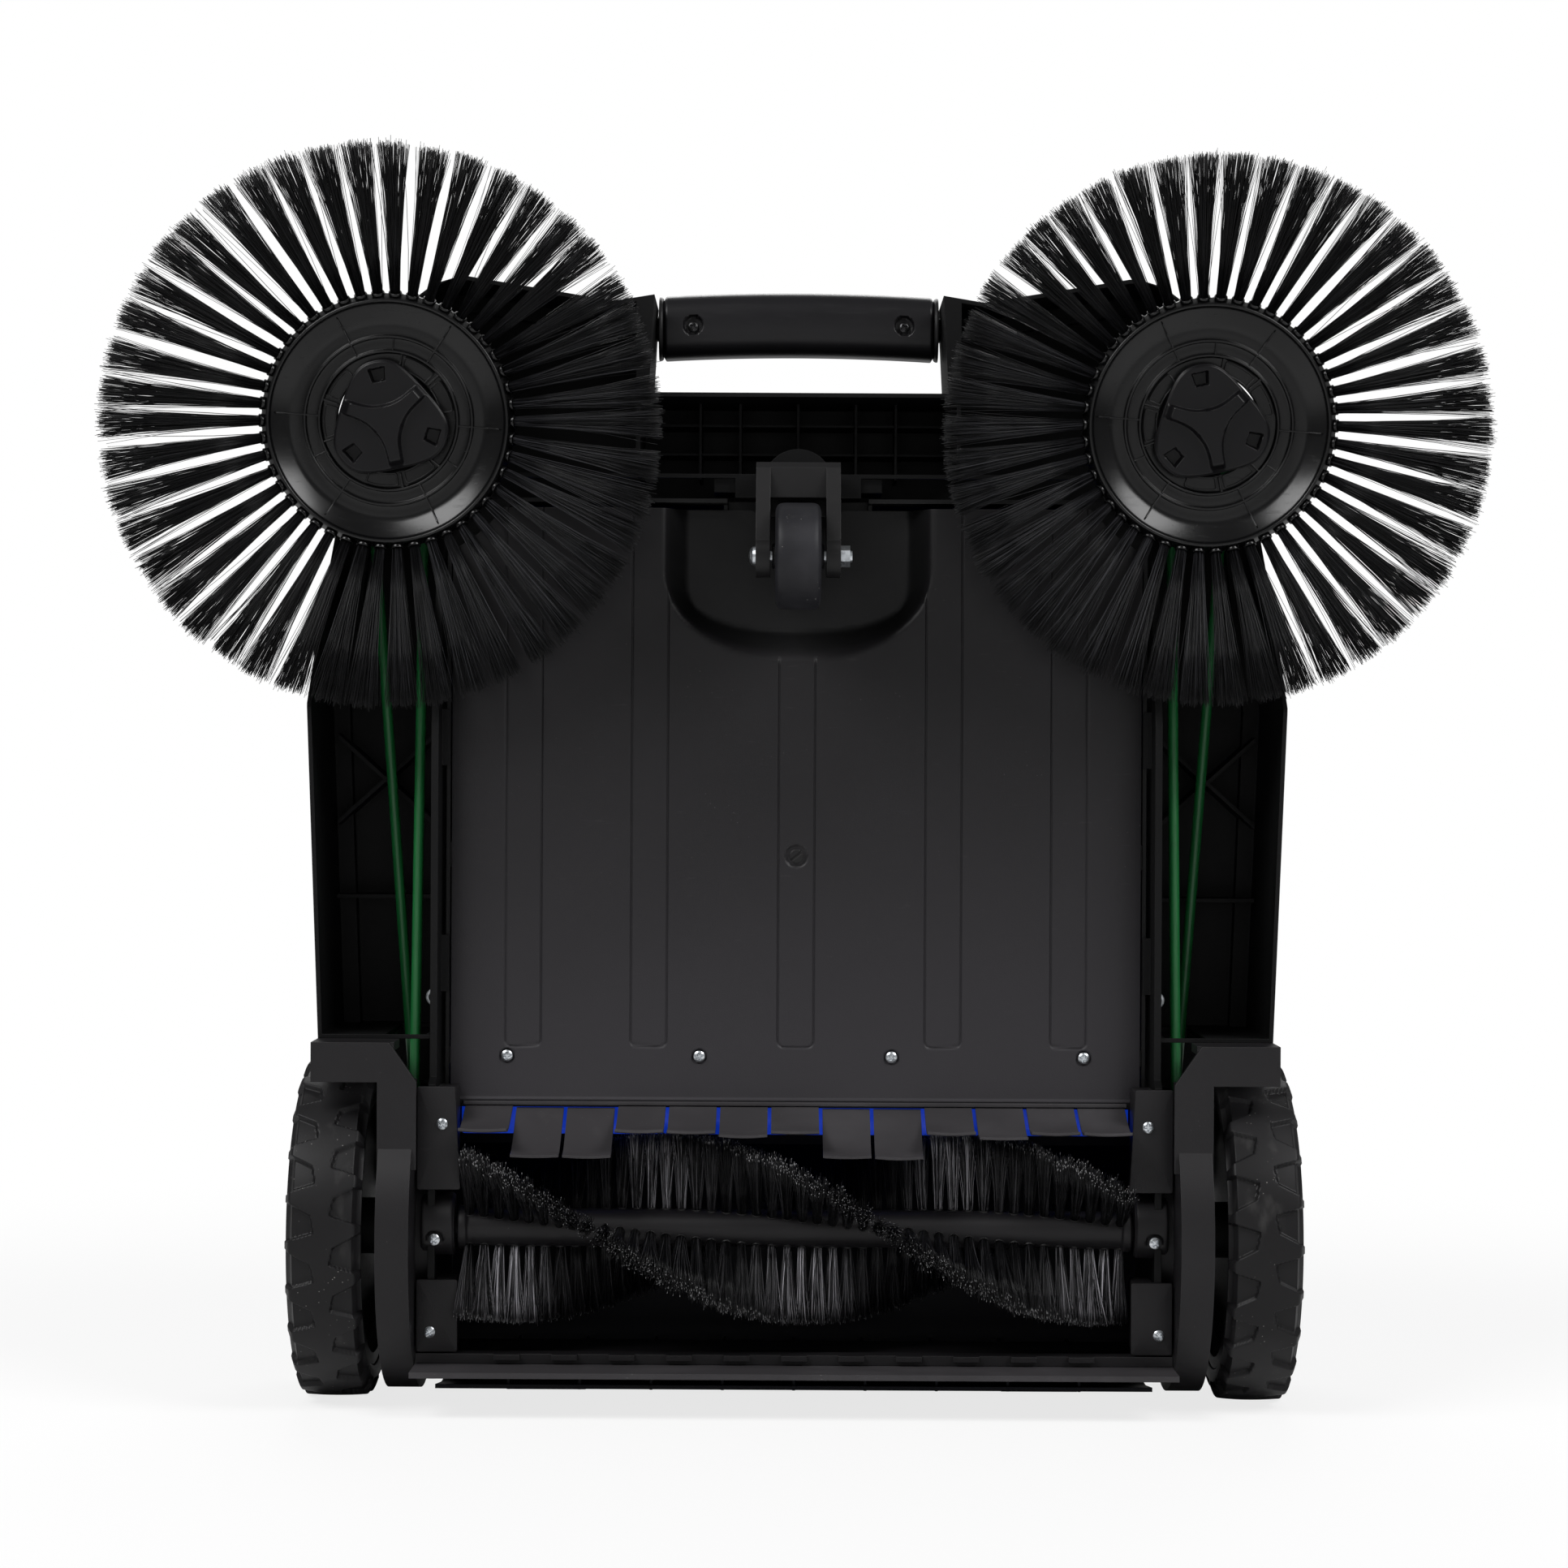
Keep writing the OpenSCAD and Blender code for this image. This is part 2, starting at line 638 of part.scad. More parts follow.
// Rubber strip with slit flaps, under the bar behind the floor panel
module flap_strip() stand() color(RUBBER) {
    pitch = 2 * roller_half / flap_count;
    top_z = floor_rear_z - 1;
    for (i = [0:flap_count - 1])
        across(-roller_half + i * pitch + 0.4, -roller_half + (i + 1) * pitch - 0.4)
            polygon([
                [flap_bar_h - 1, top_z], [flap_bar_h - 1, top_z - flap_t],
                [flap_low_h, top_z - 31], [flap_low_h - 1, top_z - 31 + flap_t]
            ]);
    block(-roller_half, roller_half, flap_bar_h - 2, flap_bar_h, top_z - flap_t, top_z);
}

// Boss that carries the castor's swivel pin under the front beam
module castor_mount() stand() color(PLASTIC) difference() {
    union() {
        rod_h(0, castor_z, fork_top_h + 0.3, lip_h, 25);
        block(-fork_half + 1, fork_half - 1, lip_h - 4, lip_h, front_beam_z, castor_z + 8);
    }
    rod_h(0, castor_z, 90, lip_h + 1, 6 + fit_gap);
}

// Housings that carry the brush shafts on both sides of their pulleys
module brush_bearing(side) on_brush_axis(side) difference() {
    union() {
        translate([0, 0, 18]) cylinder(h = 26, r = shaft_r + 9, $fn = 64);
        translate([0, 0, 68]) cylinder(h = shaft_top_s - 42, r = shaft_r + 9, $fn = 64);
        translate([-9, -yoke_y - 8, 18]) cube([18, 8, 92]);
        translate([-9, -yoke_y - 4, 18]) cube([18, yoke_y - 6, 8]);
        translate([-9, -yoke_y - 4, 98]) cube([18, yoke_y - 6, 12]);
    }
    translate([0, 0, 10]) cylinder(h = shaft_top_s, r = shaft_r + fit_gap, $fn = 64);
    translate([0, 0, shaft_top_s]) cylinder(h = 40, r = shaft_r + 6, $fn = 64);
}
yoke_y = brush_pulley_r + belt_r + 3;
housing_top_h = deck_h - 5;

module brush_bearings() stand() color(PLASTIC) difference() {
    union() {
        brush_bearing(-1);
        brush_bearing(1);
    }
    block(-400, 400, housing_top_h, deck_h + 60, 600, 800);
}

// Ears on the deck that hold the push bar's pivots
module bar_brackets() stand() color(PLASTIC) both_sides() difference() {
    union() {
        block(bar_x - 18, bar_x + 18, guard_top_h, guard_top_h + 3, pivot_z - 22, pivot_z + 22);
        for (x = [bar_x - bar_r - 4.5, bar_x + bar_r + 1])
            block(x, x + 3.5, guard_top_h + 3, bar_h + 12, pivot_z - 13, pivot_z + 13);
    }
    rod_x(bar_x - 20, bar_x + 20, bar_h, pivot_z, 5 + fit_gap);
}

// A clamp knob with three lobes on a pin that runs outwards from it
module clamp_knob(x0, x1, h, z) {
    difference() {
        union() {
            rod_x(x0, x1, h, z, 12);
            for (a = [30, 150, 270])
                rod_x(x0, x1, h + 9 * cos(a), z + 9 * sin(a), 6);
        }
        rod_x(x0 - 1, x0 + 2, h, z, 6);
    }
}

module pivot_knobs() stand() color(PLASTIC) both_sides() {
    rod_x(bar_x - 26, bar_x + 19, bar_h, pivot_z, 5);
    clamp_knob(bar_x - 38, bar_x - 26, bar_h, pivot_z);
}

module parking_feet() stand() color(RUBBER) both_sides() difference() {
    block(150, 205, deck_h - 66, deck_h - 25, 0, hood_rear_z);
    for (h = [deck_h - 58:8:deck_h - 32]) block(149, 206, h, h + 3, -1, 1.5);
}

// ---------------------------------------------------------------- belts

// Touching points of the belt's two runs on a pulley, seen square to the pulley:
// the angle of the far end, turned back by the angle whose cosine is radius / distance
function run_angle(end, r, sense) = atan2(end[1], end[0]) + sense * acos(r / norm(end));

brush_end = [brush_h + brush_pulley_s * cos(brush_tilt) - axle_h,
             brush_z + brush_pulley_s * sin(brush_tilt) - axle_z];
near_a = run_angle(brush_end, wheel_pulley_r, 1);
far_a = run_angle(brush_end, wheel_pulley_r, -1);

function on_wheel_pulley(a) =
    [pulley_x, axle_h + wheel_pulley_r * cos(a), axle_z + wheel_pulley_r * sin(a)];

// A wheel-pulley point seen in the plane of the brush pulley
function seen_from_brush(p) = [
    p[0] - brush_x,
    (p[1] - axle_h - brush_end[0]) * sin(brush_tilt)
        - (p[2] - axle_z - brush_end[1]) * cos(brush_tilt)
];
inner_a = run_angle(seen_from_brush(on_wheel_pulley(near_a)), brush_pulley_r, 1);
outer_a = run_angle(seen_from_brush(on_wheel_pulley(far_a)), brush_pulley_r, -1);

function on_brush_pulley(a) = brush_point(1, [
    brush_pulley_r * cos(a), brush_pulley_r * sin(a), brush_pulley_s
]);

// Middle line of the belt, with the vector that stays square to its path at each point
function belt_path() = concat(
    [for (i = [0:26]) let (a = near_a + (360 - near_a + far_a) * i / 26)
        [on_wheel_pulley(a), [1, 0, 0]]],
    [for (i = [1:5]) belt_between(on_wheel_pulley(far_a), on_brush_pulley(outer_a), i / 6)],
    [for (i = [0:18]) let (a = outer_a - (360 - inner_a + outer_a) * i / 18)
        [on_brush_pulley(a), brush_axis]],
    [for (i = [5:-1:1]) belt_between(on_wheel_pulley(near_a), on_brush_pulley(inner_a), i / 6)]
);
brush_axis = [0, cos(brush_tilt), sin(brush_tilt)];
function belt_between(from, to, t) = [
    from * (1 - t) + to * t, [cos(90 * t), sin(90 * t) * brush_axis[1], sin(90 * t) * brush_axis[2]]
];
function unit(v) = v / norm(v);

module drive_belt(side) stand() on_side(side) color(GREEN) {
    sides = 8;
    path = belt_path();
    count = len(path);
    rings = [for (i = [0:count - 1]) let (
        along = unit(path[(i + 1) % count][0] - path[(i + count - 1) % count][0]),
        across = unit(cross(path[i][1], along)),
        up = cross(along, across)
    ) for (k = [0:sides - 1])
        path[i][0] + belt_r * (across * cos(k * 360 / sides) + up * sin(k * 360 / sides))];
    polyhedron(
        points = rings,
        faces = [for (i = [0:count - 1], k = [0:sides - 1]) let (
            a = i * sides, b = (i + 1) % count * sides, k1 = (k + 1) % sides
        ) each [[a + k, b + k1, a + k1], [a + k, b + k, b + k1]]],
        convexity = 6
    );
}
module drive_belt_left() drive_belt(-1);
module drive_belt_right() drive_belt(1);

// ---------------------------------------------------------------- hopper

// Round notch over a brush disc, cut out of the floor and the bin's front corners
module disc_notch(h0, h1) {
    both_sides() rod_h(brush_x, brush_z, h0, h1, disc_r + 10);
}

// Plan outline of the castor recess, rounded at its rear
module recess_plan(half, rear_z) {
    corner = half * 0.62;
    intersection() {
        union() {
            translate([-half, rear_z + corner])
                square([2 * half, hopper_front_z - rear_z - corner + 1]);
            translate([-half + corner, rear_z]) square([2 * (half - corner), corner + 1]);
            for (x = [-1, 1]) translate([x * (half - corner), rear_z + corner])
                circle(r = corner, $fn = 64);
        }
        translate([-half, rear_z]) square([2 * half, hopper_front_z - rear_z]);
    }
}

// Notch in the hopper's front edge round the castor's boss
module castor_notch(h0, h1) {
    block(-50, 50, h0, h1, notch_z, hopper_front_z + 2);
}

module hopper_floor() stand() color(PLASTIC) difference() {
    union() {
        difference() {
            block(-floor_half, floor_half, floor_h, floor_h + wall, floor_rear_z,
                  hopper_front_z - 7);
            plan(floor_h - 1, floor_h + wall + 1) recess_plan(95, 525);
        }
        // Sloped wall and top of the castor recess
        intersection() {
            union() {
                for (s = [0:4]) difference() {
                    plan(floor_h + s * 3.6, floor_h + 4 + s * 3.6)
                        recess_plan(95 - s * 3.4 + 0.01, 525 + s * 3.8);
                    plan(floor_h - 1, recess_h + 3)
                        recess_plan(95 - s * 3.4 - 3.4, 525 + s * 3.8 + 3.8);
                }
                plan(recess_h, recess_h + wall) recess_plan(81, 541);
            }
            block(-floor_half, floor_half, floor_h, recess_h + wall, 500, hopper_front_z - 7);
        }
        // Rear lip
        block(-floor_half, floor_half, floor_h - 2, floor_h, floor_rear_z, floor_rear_z + 2.5);
    }
    disc_notch(floor_h - 3, recess_h + 5);
    castor_notch(floor_h - 3, recess_h + 5);
    for (x = floor_screw_x) rod_h(x, floor_screw_z, 70, 120, screw_r + seat_gap);
    rod_h(0, lock_screw_z, 70, 120, 5 + seat_gap);
    // Shallow channels along the panel
    for (x = [-190, -103, 0, 103, 190]) difference() {
        union() {
            block(x - 12.5, x + 12.5, floor_h - 1, floor_h + 0.8, 262, 520);
            rod_h(x, 262, floor_h - 1, floor_h + 0.8, 12.5);
        }
        union() {
            block(x - 11.5, x + 11.5, floor_h - 2, floor_h + 1, 262, 521);
            rod_h(x, 262, floor_h - 2, floor_h + 1, 11.5);
        }
    }
}
floor_screw_x = [-204, -68, 68, 204];
floor_screw_z = 245;
lock_screw_z = 387;

module floor_screws() stand() color(ZINC)
    for (x = floor_screw_x) pan_screw(x, floor_h, floor_screw_z, 12);

// Quarter-turn lock with a slotted head
module floor_lock_screw() stand() color(PLASTIC) {
    difference() {
        rod_h(0, lock_screw_z, floor_h - 2.5, floor_h, 8);
        rod_h(0, lock_screw_z, floor_h - 3, floor_h - 1.6, 6.6);
    }
    difference() {
        rod_h(0, lock_screw_z, floor_h - 2.4, floor_h, 5.6);
        block(-4.6, 4.6, floor_h - 3, floor_h - 1, lock_screw_z - 0.8, lock_screw_z + 0.8);
    }
    rod_h(0, lock_screw_z, floor_h, floor_h + 14, 5);
}

// Box open at its foot and towards the roller
module hopper_bin() stand() color(BLUE) {
    difference() {
        block(-bin_half, bin_half, bin_low_h, deck_h, bin_rear_z, hopper_front_z);
        difference() {
            block(-bin_half + wall, bin_half - wall, bin_low_h - 1, deck_h - wall,
                  bin_rear_z + wall, hopper_front_z - wall);
            block(-50 - wall, 50 + wall, recess_h + wall + seat_gap, notch_top_h + wall,
                  notch_z - wall, hopper_front_z);
            both_sides() rod_h(brush_x, brush_z, bin_low_h - 2, lip_h + wall, disc_r + 13);
        }
        // Mouth towards the roller
        block(-bin_half + wall, bin_half - wall, bin_low_h - 1, mouth_top_h,
              bin_rear_z - 1, bin_rear_z + wall + 1);
        disc_notch(bin_low_h - 1, lip_h);
        castor_notch(bin_low_h - 1, notch_top_h);
    }
    // Flange that laps over the hood
    block(-bin_half, bin_half, deck_h - 1, deck_h + 3, bin_rear_z, bin_rear_z + 6);
    block(-bin_half, bin_half, deck_h + 0.4, deck_h + 3, bin_rear_z - 8, bin_rear_z + 6);
    // Low cross ribs that hold the floor's screws and its lock
    for (rib = [[floor_screw_z, 6], [lock_screw_z, 9]]) difference() {
        block(-bin_half + wall, bin_half - wall, floor_h + wall, floor_h + wall + 16,
              rib[0] - rib[1], rib[0] + rib[1]);
        for (x = floor_screw_x) rod_h(x, floor_screw_z, floor_h, floor_h + 20, screw_r + seat_gap);
        rod_h(0, lock_screw_z, floor_h, floor_h + 20, 5 + seat_gap);
    }
}

// Lift handle on the hopper's lid
module hopper_handle() stand() color(PLASTIC) {
    foot_x = 68;
    both_sides() block(foot_x - 9, foot_x + 9, deck_h, deck_h + 26, 403, 425);
    rod_x(-foot_x, foot_x, deck_h + 17, 414, 9);
}

// ---------------------------------------------------------------- wheels

// Rim with its hub sleeve on the axle
module wheel_rim(side) stand() on_side(side) color(PLASTIC)
    turn_x(axle_h, axle_z) polygon([
        [axle_r + fit_gap, pulley_x - pulley_w / 2], [sleeve_r, pulley_x - pulley_w / 2],
        [sleeve_r, wheel_x + 14], [rim_r - 14, wheel_x + 8], [rim_r - 8, wheel_x + 2],
        [rim_r, wheel_x + 2], [rim_r, tyre_out_x - 4], [rim_r - 4, tyre_out_x - 4],
        [rim_r - 10, wheel_x + 16], [sleeve_r + 10, wheel_x + 22], [sleeve_r + 6, tyre_out_x - 4],
        [sleeve_r - 4, tyre_out_x - 4], [axle_r + fit_gap, tyre_out_x - 4]
    ]);
module wheel_rim_left() wheel_rim(-1);
module wheel_rim_right() wheel_rim(1);

// Tyre with two staggered rows of pockets, which leave blocks between them
module tyre(side) stand() on_side(side) color(RUBBER) {
    step = 360 / tread_blocks;
    pocket_l = 2 * PI * wheel_r / tread_blocks * 0.62;
    difference() {
        turn_x(axle_h, axle_z) polygon([
            [rim_r, wheel_x + 1], [wheel_r - 12, wheel_x], [wheel_r - 4, wheel_x + 1.5],
            [wheel_r - 1, wheel_x + 5], [wheel_r, wheel_x + 12], [wheel_r, tyre_out_x - 14],
            [wheel_r - 2, tyre_out_x - 6], [wheel_r - 6, tyre_out_x - 1.5],
            [wheel_r - 14, tyre_out_x], [rim_r, tyre_out_x - 2]
        ]);
        for (i = [0:tread_blocks - 1]) translate([0, axle_h, axle_z]) {
            rotate([i * step, 0, 0]) translate([wheel_x - 2, 0, wheel_r - tread_depth])
                linear_extrude(tread_depth + 2) polygon([
                    [0, -pocket_l / 2], [20, -pocket_l * 0.3], [17, pocket_l * 0.1],
                    [0, pocket_l / 2]
                ]);
            rotate([(i + 0.5) * step, 0, 0])
                translate([tyre_out_x + 2, 0, wheel_r - 2 - tread_depth])
                    linear_extrude(tread_depth + 4) polygon([
                        [0, -pocket_l / 2], [-20, -pocket_l * 0.3], [-17, pocket_l * 0.1],
                        [0, pocket_l / 2]
                    ]);
        }
    }
}
module tyre_left() tyre(-1);
module tyre_right() tyre(1);

module hub_cap(side) stand() on_side(side) color(PLASTIC)
    turn_x(axle_h, axle_z) polygon([
        [0, tyre_out_x + 2.5], [axle_r + 4, tyre_out_x + 2.5], [axle_r + 4, tyre_out_x - 4],
        [sleeve_r + 6, tyre_out_x - 4], [sleeve_r + 4, tyre_out_x + 2], [sleeve_r - 6, tyre_out_x + 6],
        [0, tyre_out_x + 7]
    ]);
module hub_cap_left() hub_cap(-1);
module hub_cap_right() hub_cap(1);

// Pulley profile round a belt: (radius, place along the axle)
module groove_profile(bore, pitch_r, width, middle, slack) {
    groove = belt_r + belt_gap + slack;
    rise = 2.2;
    difference() {
        translate([bore, middle - width / 2]) square([pitch_r + rise - bore, width]);
        translate([pitch_r + slack, middle]) circle(r = groove, $fn = 48);
        translate([pitch_r + slack, middle - groove]) square([2 * rise, 2 * groove]);
    }
}

module wheel_pulley(side) stand() on_side(side) color(PLASTIC)
    turn_x(axle_h, axle_z) groove_profile(sleeve_r, wheel_pulley_r, pulley_w, pulley_x, 0.6);
module wheel_pulley_left() wheel_pulley(-1);
module wheel_pulley_right() wheel_pulley(1);

// Direction from the axle to the roller, on which a tooth of the gear points
mesh_a = atan2(roller_z - axle_z, roller_h - axle_h);

module wheel_gear() stand() on_side(-1) color(PLASTIC)
    across(gear_x, gear_x + gear_w) translate([axle_h, axle_z]) rotate(mesh_a)
        gear_outline(wheel_teeth, sleeve_r);

// ---------------------------------------------------------------- roller

module roller_core() stand() color(PLASTIC) {
    rod_x(-roller_half - 1.5, roller_half + 1.5, roller_h, roller_z, core_r);
    rod_x(roller_half + 1.5, frame_out_x - 1, roller_h, roller_z, journal_r);
    rod_x(-gear_x - gear_w - 1, -roller_half - 1.5, roller_h, roller_z, journal_r);
}

// Helical rows of tufts, pressed into the core
module roller_bristles() stand() color(BRISTLE) {
    reach = roller_half - 5.5;
    count = floor(2 * reach / tuft_pitch);
    for (row = [0:roller_rows - 1], i = [0:count]) let (x = (i - count / 2) * tuft_pitch)
        translate([x, roller_h, roller_z])
            rotate([roller_phase + 360 * x / helix_pitch + 360 * row / roller_rows, 0, 0])
                translate([0, 0, core_r - 4])
                    cylinder(h = roller_tip_r - core_r + 4, r1 = 3.2, r2 = 5, $fn = 16);
}
roller_phase = 47;

module roller_pinion() stand() on_side(-1) color(PLASTIC)
    across(gear_x, gear_x + gear_w) translate([roller_h, roller_z])
        rotate(mesh_a + 180 + 180 / pinion_teeth) gear_outline(pinion_teeth, journal_r);

// ---------------------------------------------------------------- side brushes

cap_turn = -42;         // direction of the cap's first arm

module brush_disc(side) stand() on_brush_axis(side) color(PLASTIC) {
    difference() {
        rotate_extrude($fn = 128) polygon([
            [38, 8], [38, 4], [70, 4], [83, -3], [86, -5], [disc_r - 2, -5], [disc_r, -3],
            [disc_r, 2], [86, 6], [70, 8]
        ]);
        // Open sockets between the tufts
        for (i = [0:brush_tufts - 1]) rotate([0, 0, (i + 0.5) * 360 / brush_tufts])
            translate([disc_r - 4.5, -1.8, -6]) cube([6, 3.6, 14]);
    }
    // Rings and ribs on the face
    for (r = [50, 59]) rotate_extrude($fn = 96)
        translate([r - 0.8, 1]) square([1.6, 3.5]);
    for (a = [0:60:300]) rotate([0, 0, a + 4]) translate([50.5, -0.8, 0.5])
        cube([25, 1.6, 4.5]);
    // Boss on the shaft
    difference() {
        translate([0, 0, 4]) cylinder(h = 10, r = 16, $fn = 64);
        translate([0, 0, 3]) cylinder(h = 12, r = shaft_r, $fn = 64);
    }
    difference() {
        translate([0, 0, 4]) cylinder(h = 4, r = 40, $fn = 64);
        translate([0, 0, 3]) cylinder(h = 6, r = shaft_r, $fn = 64);
        for (a = [60:120:300]) rotate([0, 0, a + cap_turn]) translate([28.5, -4.8, 3])
            cube([9, 9.6, 6]);
    }
}
module brush_disc_left() brush_disc(-1);
module brush_disc_right() brush_disc(1);

// Tufts that fan out from the disc's rim and down towards the ground
module brush_bristles(side) stand() on_brush_axis(side) color(BRISTLE) {
    root_r = disc_r - 7;
    drop_a = atan(brush_drop / (brush_tip_r - root_r));
    length = norm([brush_drop, brush_tip_r - root_r]);
    for (i = [0:brush_tufts - 1]) rotate([0, 0, i * 360 / brush_tufts])
        translate([root_r, 0, 0]) rotate([0, drop_a, 0]) translate([0, 0, -2])
            linear_extrude(4) polygon([
                [0, -2], [length, -5], [length - 3, 0], [length, 5], [0, 2]
            ]);
}
module brush_bristles_left() brush_bristles(-1);
module brush_bristles_right() brush_bristles(1);

// Round cap with three flats and a raised grip of three arms
module brush_cap(side) stand() on_brush_axis(side) color(PLASTIC) {
    difference() {
        union() {
            translate([0, 0, -4]) linear_extrude(8) difference() {
                circle(r = 41.5, $fn = 96);
                for (a = [0:120:240]) rotate(a + cap_turn) translate([33, -40])
                    square([20, 80]);
            }
            for (a = [0:120:240]) rotate([0, 0, a + cap_turn]) translate([0, -5.5, -10])
                cube([32, 11, 6.5]);
            translate([0, 0, -10]) cylinder(h = 6.5, r = 10, $fn = 48);
        }
        for (a = [60:120:300]) rotate([0, 0, a + cap_turn]) translate([28.5, -4.8, -5])
            cube([9, 9.6, 10]);
    }
}
module brush_cap_left() brush_cap(-1);
module brush_cap_right() brush_cap(1);

module brush_shaft(side) stand() on_brush_axis(side) color(ZINC) {
    translate([0, 0, 4]) cylinder(h = shaft_top_s + 8, r = shaft_r, $fn = 64);
    translate([0, 0, shaft_top_s + 1]) cylinder(h = 2, r = shaft_r + 5, $fn = 64);
    translate([0, 0, 15]) cylinder(h = 2.5, r = shaft_r + 4, $fn = 64);
}
module brush_shaft_left() brush_shaft(-1);
module brush_shaft_right() brush_shaft(1);

module brush_pulley(side) stand() on_brush_axis(side) color(PLASTIC)
    rotate_extrude($fn = 96)
        groove_profile(shaft_r, brush_pulley_r, pulley_w + 4, brush_pulley_s, 1.9);
module brush_pulley_left() brush_pulley(-1);
module brush_pulley_right() brush_pulley(1);

// ---------------------------------------------------------------- castor

castor_axle_h = castor_r;
castor_axle_z = castor_z - castor_trail;
fork_arm = 10;
fork_top_h = 96;
pin_low_h = 60;

module castor_fork() stand() color(PLASTIC) difference() {
    union() {
        both_sides() {
            across(fork_half - fork_arm, fork_half) polygon([
                [fork_top_h, castor_z + 12], [56, castor_z + 12], [52, castor_z + 8],
                [castor_axle_h - 11, castor_axle_z + 11], [castor_axle_h - 2, castor_axle_z - 13],
                [castor_axle_h + 12, castor_axle_z - 10], [fork_top_h - 6, castor_z - 30],
                [fork_top_h, castor_z - 24]
            ]);
            rod_x(fork_half - fork_arm, fork_half, castor_axle_h, castor_axle_z, 15);
        }
        across(-fork_half, fork_half) polygon([
            [fork_top_h, castor_z + 12], [56, castor_z + 12], [52, castor_z + 8],
            [52, castor_z - 13], [76, castor_z - 13], [84, castor_z - 24],
            [fork_top_h, castor_z - 24]
        ]);
    }
    rod_x(-fork_half - 1, fork_half + 1, castor_axle_h, castor_axle_z, 4);
    rod_h(0, castor_z, pin_low_h, fork_top_h + 1, 6);
}

module castor_pin() stand() color(ZINC) {
    rod_h(0, castor_z, pin_low_h, lip_h + 8, 6);
}

module castor_bolt() stand() color(ZINC) {
    rod_x(-fork_half, fork_half + 8, castor_axle_h, castor_axle_z, 4);
    turn_x(castor_axle_h, castor_axle_z) polygon([
        [0, -fork_half], [7, -fork_half], [6.6, -fork_half - 2], [4.5, -fork_half - 4],
        [0, -fork_half - 5]
    ]);
}

module castor_nut() stand() color(ZINC) difference() {
    translate([fork_half, castor_axle_h, castor_axle_z]) rotate([0, 90, 0])
        cylinder(h = 6.5, r = 7.5, $fn = 6);
    rod_x(fork_half - 1, fork_half + 8, castor_axle_h, castor_axle_z, 4);
}

module castor_wheel() stand() color(RUBBER)
    turn_x(castor_axle_h, castor_axle_z) polygon([
        [4 + fit_gap, -castor_w / 2 - 2], [9, -castor_w / 2 - 2], [9, -castor_w / 2 + 3],
        [castor_r - 10, -castor_w / 2 + 3], [castor_r - 8, -castor_w / 2],
        [castor_r - 2, -castor_w / 2], [castor_r, -castor_w / 2 + 3],
        [castor_r, castor_w / 2 - 3], [castor_r - 2, castor_w / 2],
        [castor_r - 8, castor_w / 2], [castor_r - 10, castor_w / 2 - 3], [9, castor_w / 2 - 3],
        [9, castor_w / 2 + 2], [4 + fit_gap, castor_w / 2 + 2]
    ]);

// ---------------------------------------------------------------- push bar

module tube_z(x, h, z0, z1) {
    difference() {
        rod_z(x, h, z0, z1, bar_r);
        rod_z(x, h, z0 - 1, z1 + 1, bar_r - bar_wall);
    }
}

// Lower bar: two tubes from the pivots to the fold hinge, and a cross strut
module lower_bar() stand() color(PLASTIC) {
    end_z = hinge_z - bar_r - 2;
    strut_z = hinge_z - 34;
    both_sides() {
        tube_z(bar_x, bar_h, pivot_z + 16, end_z);
        // Eye on the pivot
        difference() {
            union() {
                rod_x(bar_x - bar_r + 0.5, bar_x + bar_r - 0.5, bar_h, pivot_z, bar_r);
                block(bar_x - 9, bar_x + 9, bar_h - 9, bar_h + 9, pivot_z, pivot_z + 16);
            }
            rod_x(bar_x - 20, bar_x + 20, bar_h, pivot_z, 5 + fit_gap);
        }
        // Hinge cheeks
        difference() {
            for (x = [bar_x - bar_r - hinge_cheek, bar_x + bar_r])
                across(x, x + hinge_cheek) polygon([
                    [bar_h - 9, hinge_z - 44], [bar_h - 9, end_z + 4], [hinge_h - 10, hinge_z + 12],
                    [hinge_h + 10, hinge_z + 12], [hinge_h + 10, hinge_z - 12],
                    [bar_h + 9, hinge_z - 44]
                ]);
            rod_x(bar_x - 20, bar_x + 20, hinge_h, hinge_z, 5);
        }
    }
    rod_x(-bar_x + bar_r, bar_x - bar_r, bar_h, strut_z, 8);
}

// Upper bar: one bent tube with an eye at each end
module upper_bar() stand() color(PLASTIC) {
    end_z = hinge_z - bar_r - 2;
    both_sides() {
        tube_z(bar_x, upper_h, crossbar_z + bend_r, end_z);
        difference() {
            union() {
                rod_x(bar_x - bar_r + move_gap, bar_x + bar_r - move_gap, hinge_h, hinge_z, 11);
                block(bar_x - 8, bar_x + 8, upper_h - 8, upper_h + 6, end_z, hinge_z);
                block(bar_x - 8, bar_x + 8, hinge_h, upper_h + 6, end_z, hinge_z);
            }
            rod_x(bar_x - 20, bar_x + 20, hinge_h, hinge_z, 5 + fit_gap);
        }
        // Bend down to the crossbar
        translate([bar_x - bend_r, upper_h, crossbar_z + bend_r]) rotate([90, 0, 0])
            rotate([0, 0, -90]) rotate_extrude(angle = 90, $fn = 96)
                translate([bend_r, 0]) difference() {
                    circle(r = bar_r, $fn = 48);
                    circle(r = bar_r - bar_wall, $fn = 48);
                }
    }
    difference() {
        rod_x(-bar_x + bend_r, bar_x - bend_r, upper_h, crossbar_z, bar_r);
        rod_x(-bar_x + bend_r - 1, bar_x - bend_r + 1, upper_h, crossbar_z, bar_r - bar_wall);
    }
}

module foam_grip() stand() color(RUBBER) difference() {
    rod_x(-foam_half, foam_half, upper_h, crossbar_z, foam_r);
    rod_x(-foam_half - 1, foam_half + 1, upper_h, crossbar_z, bar_r);
}

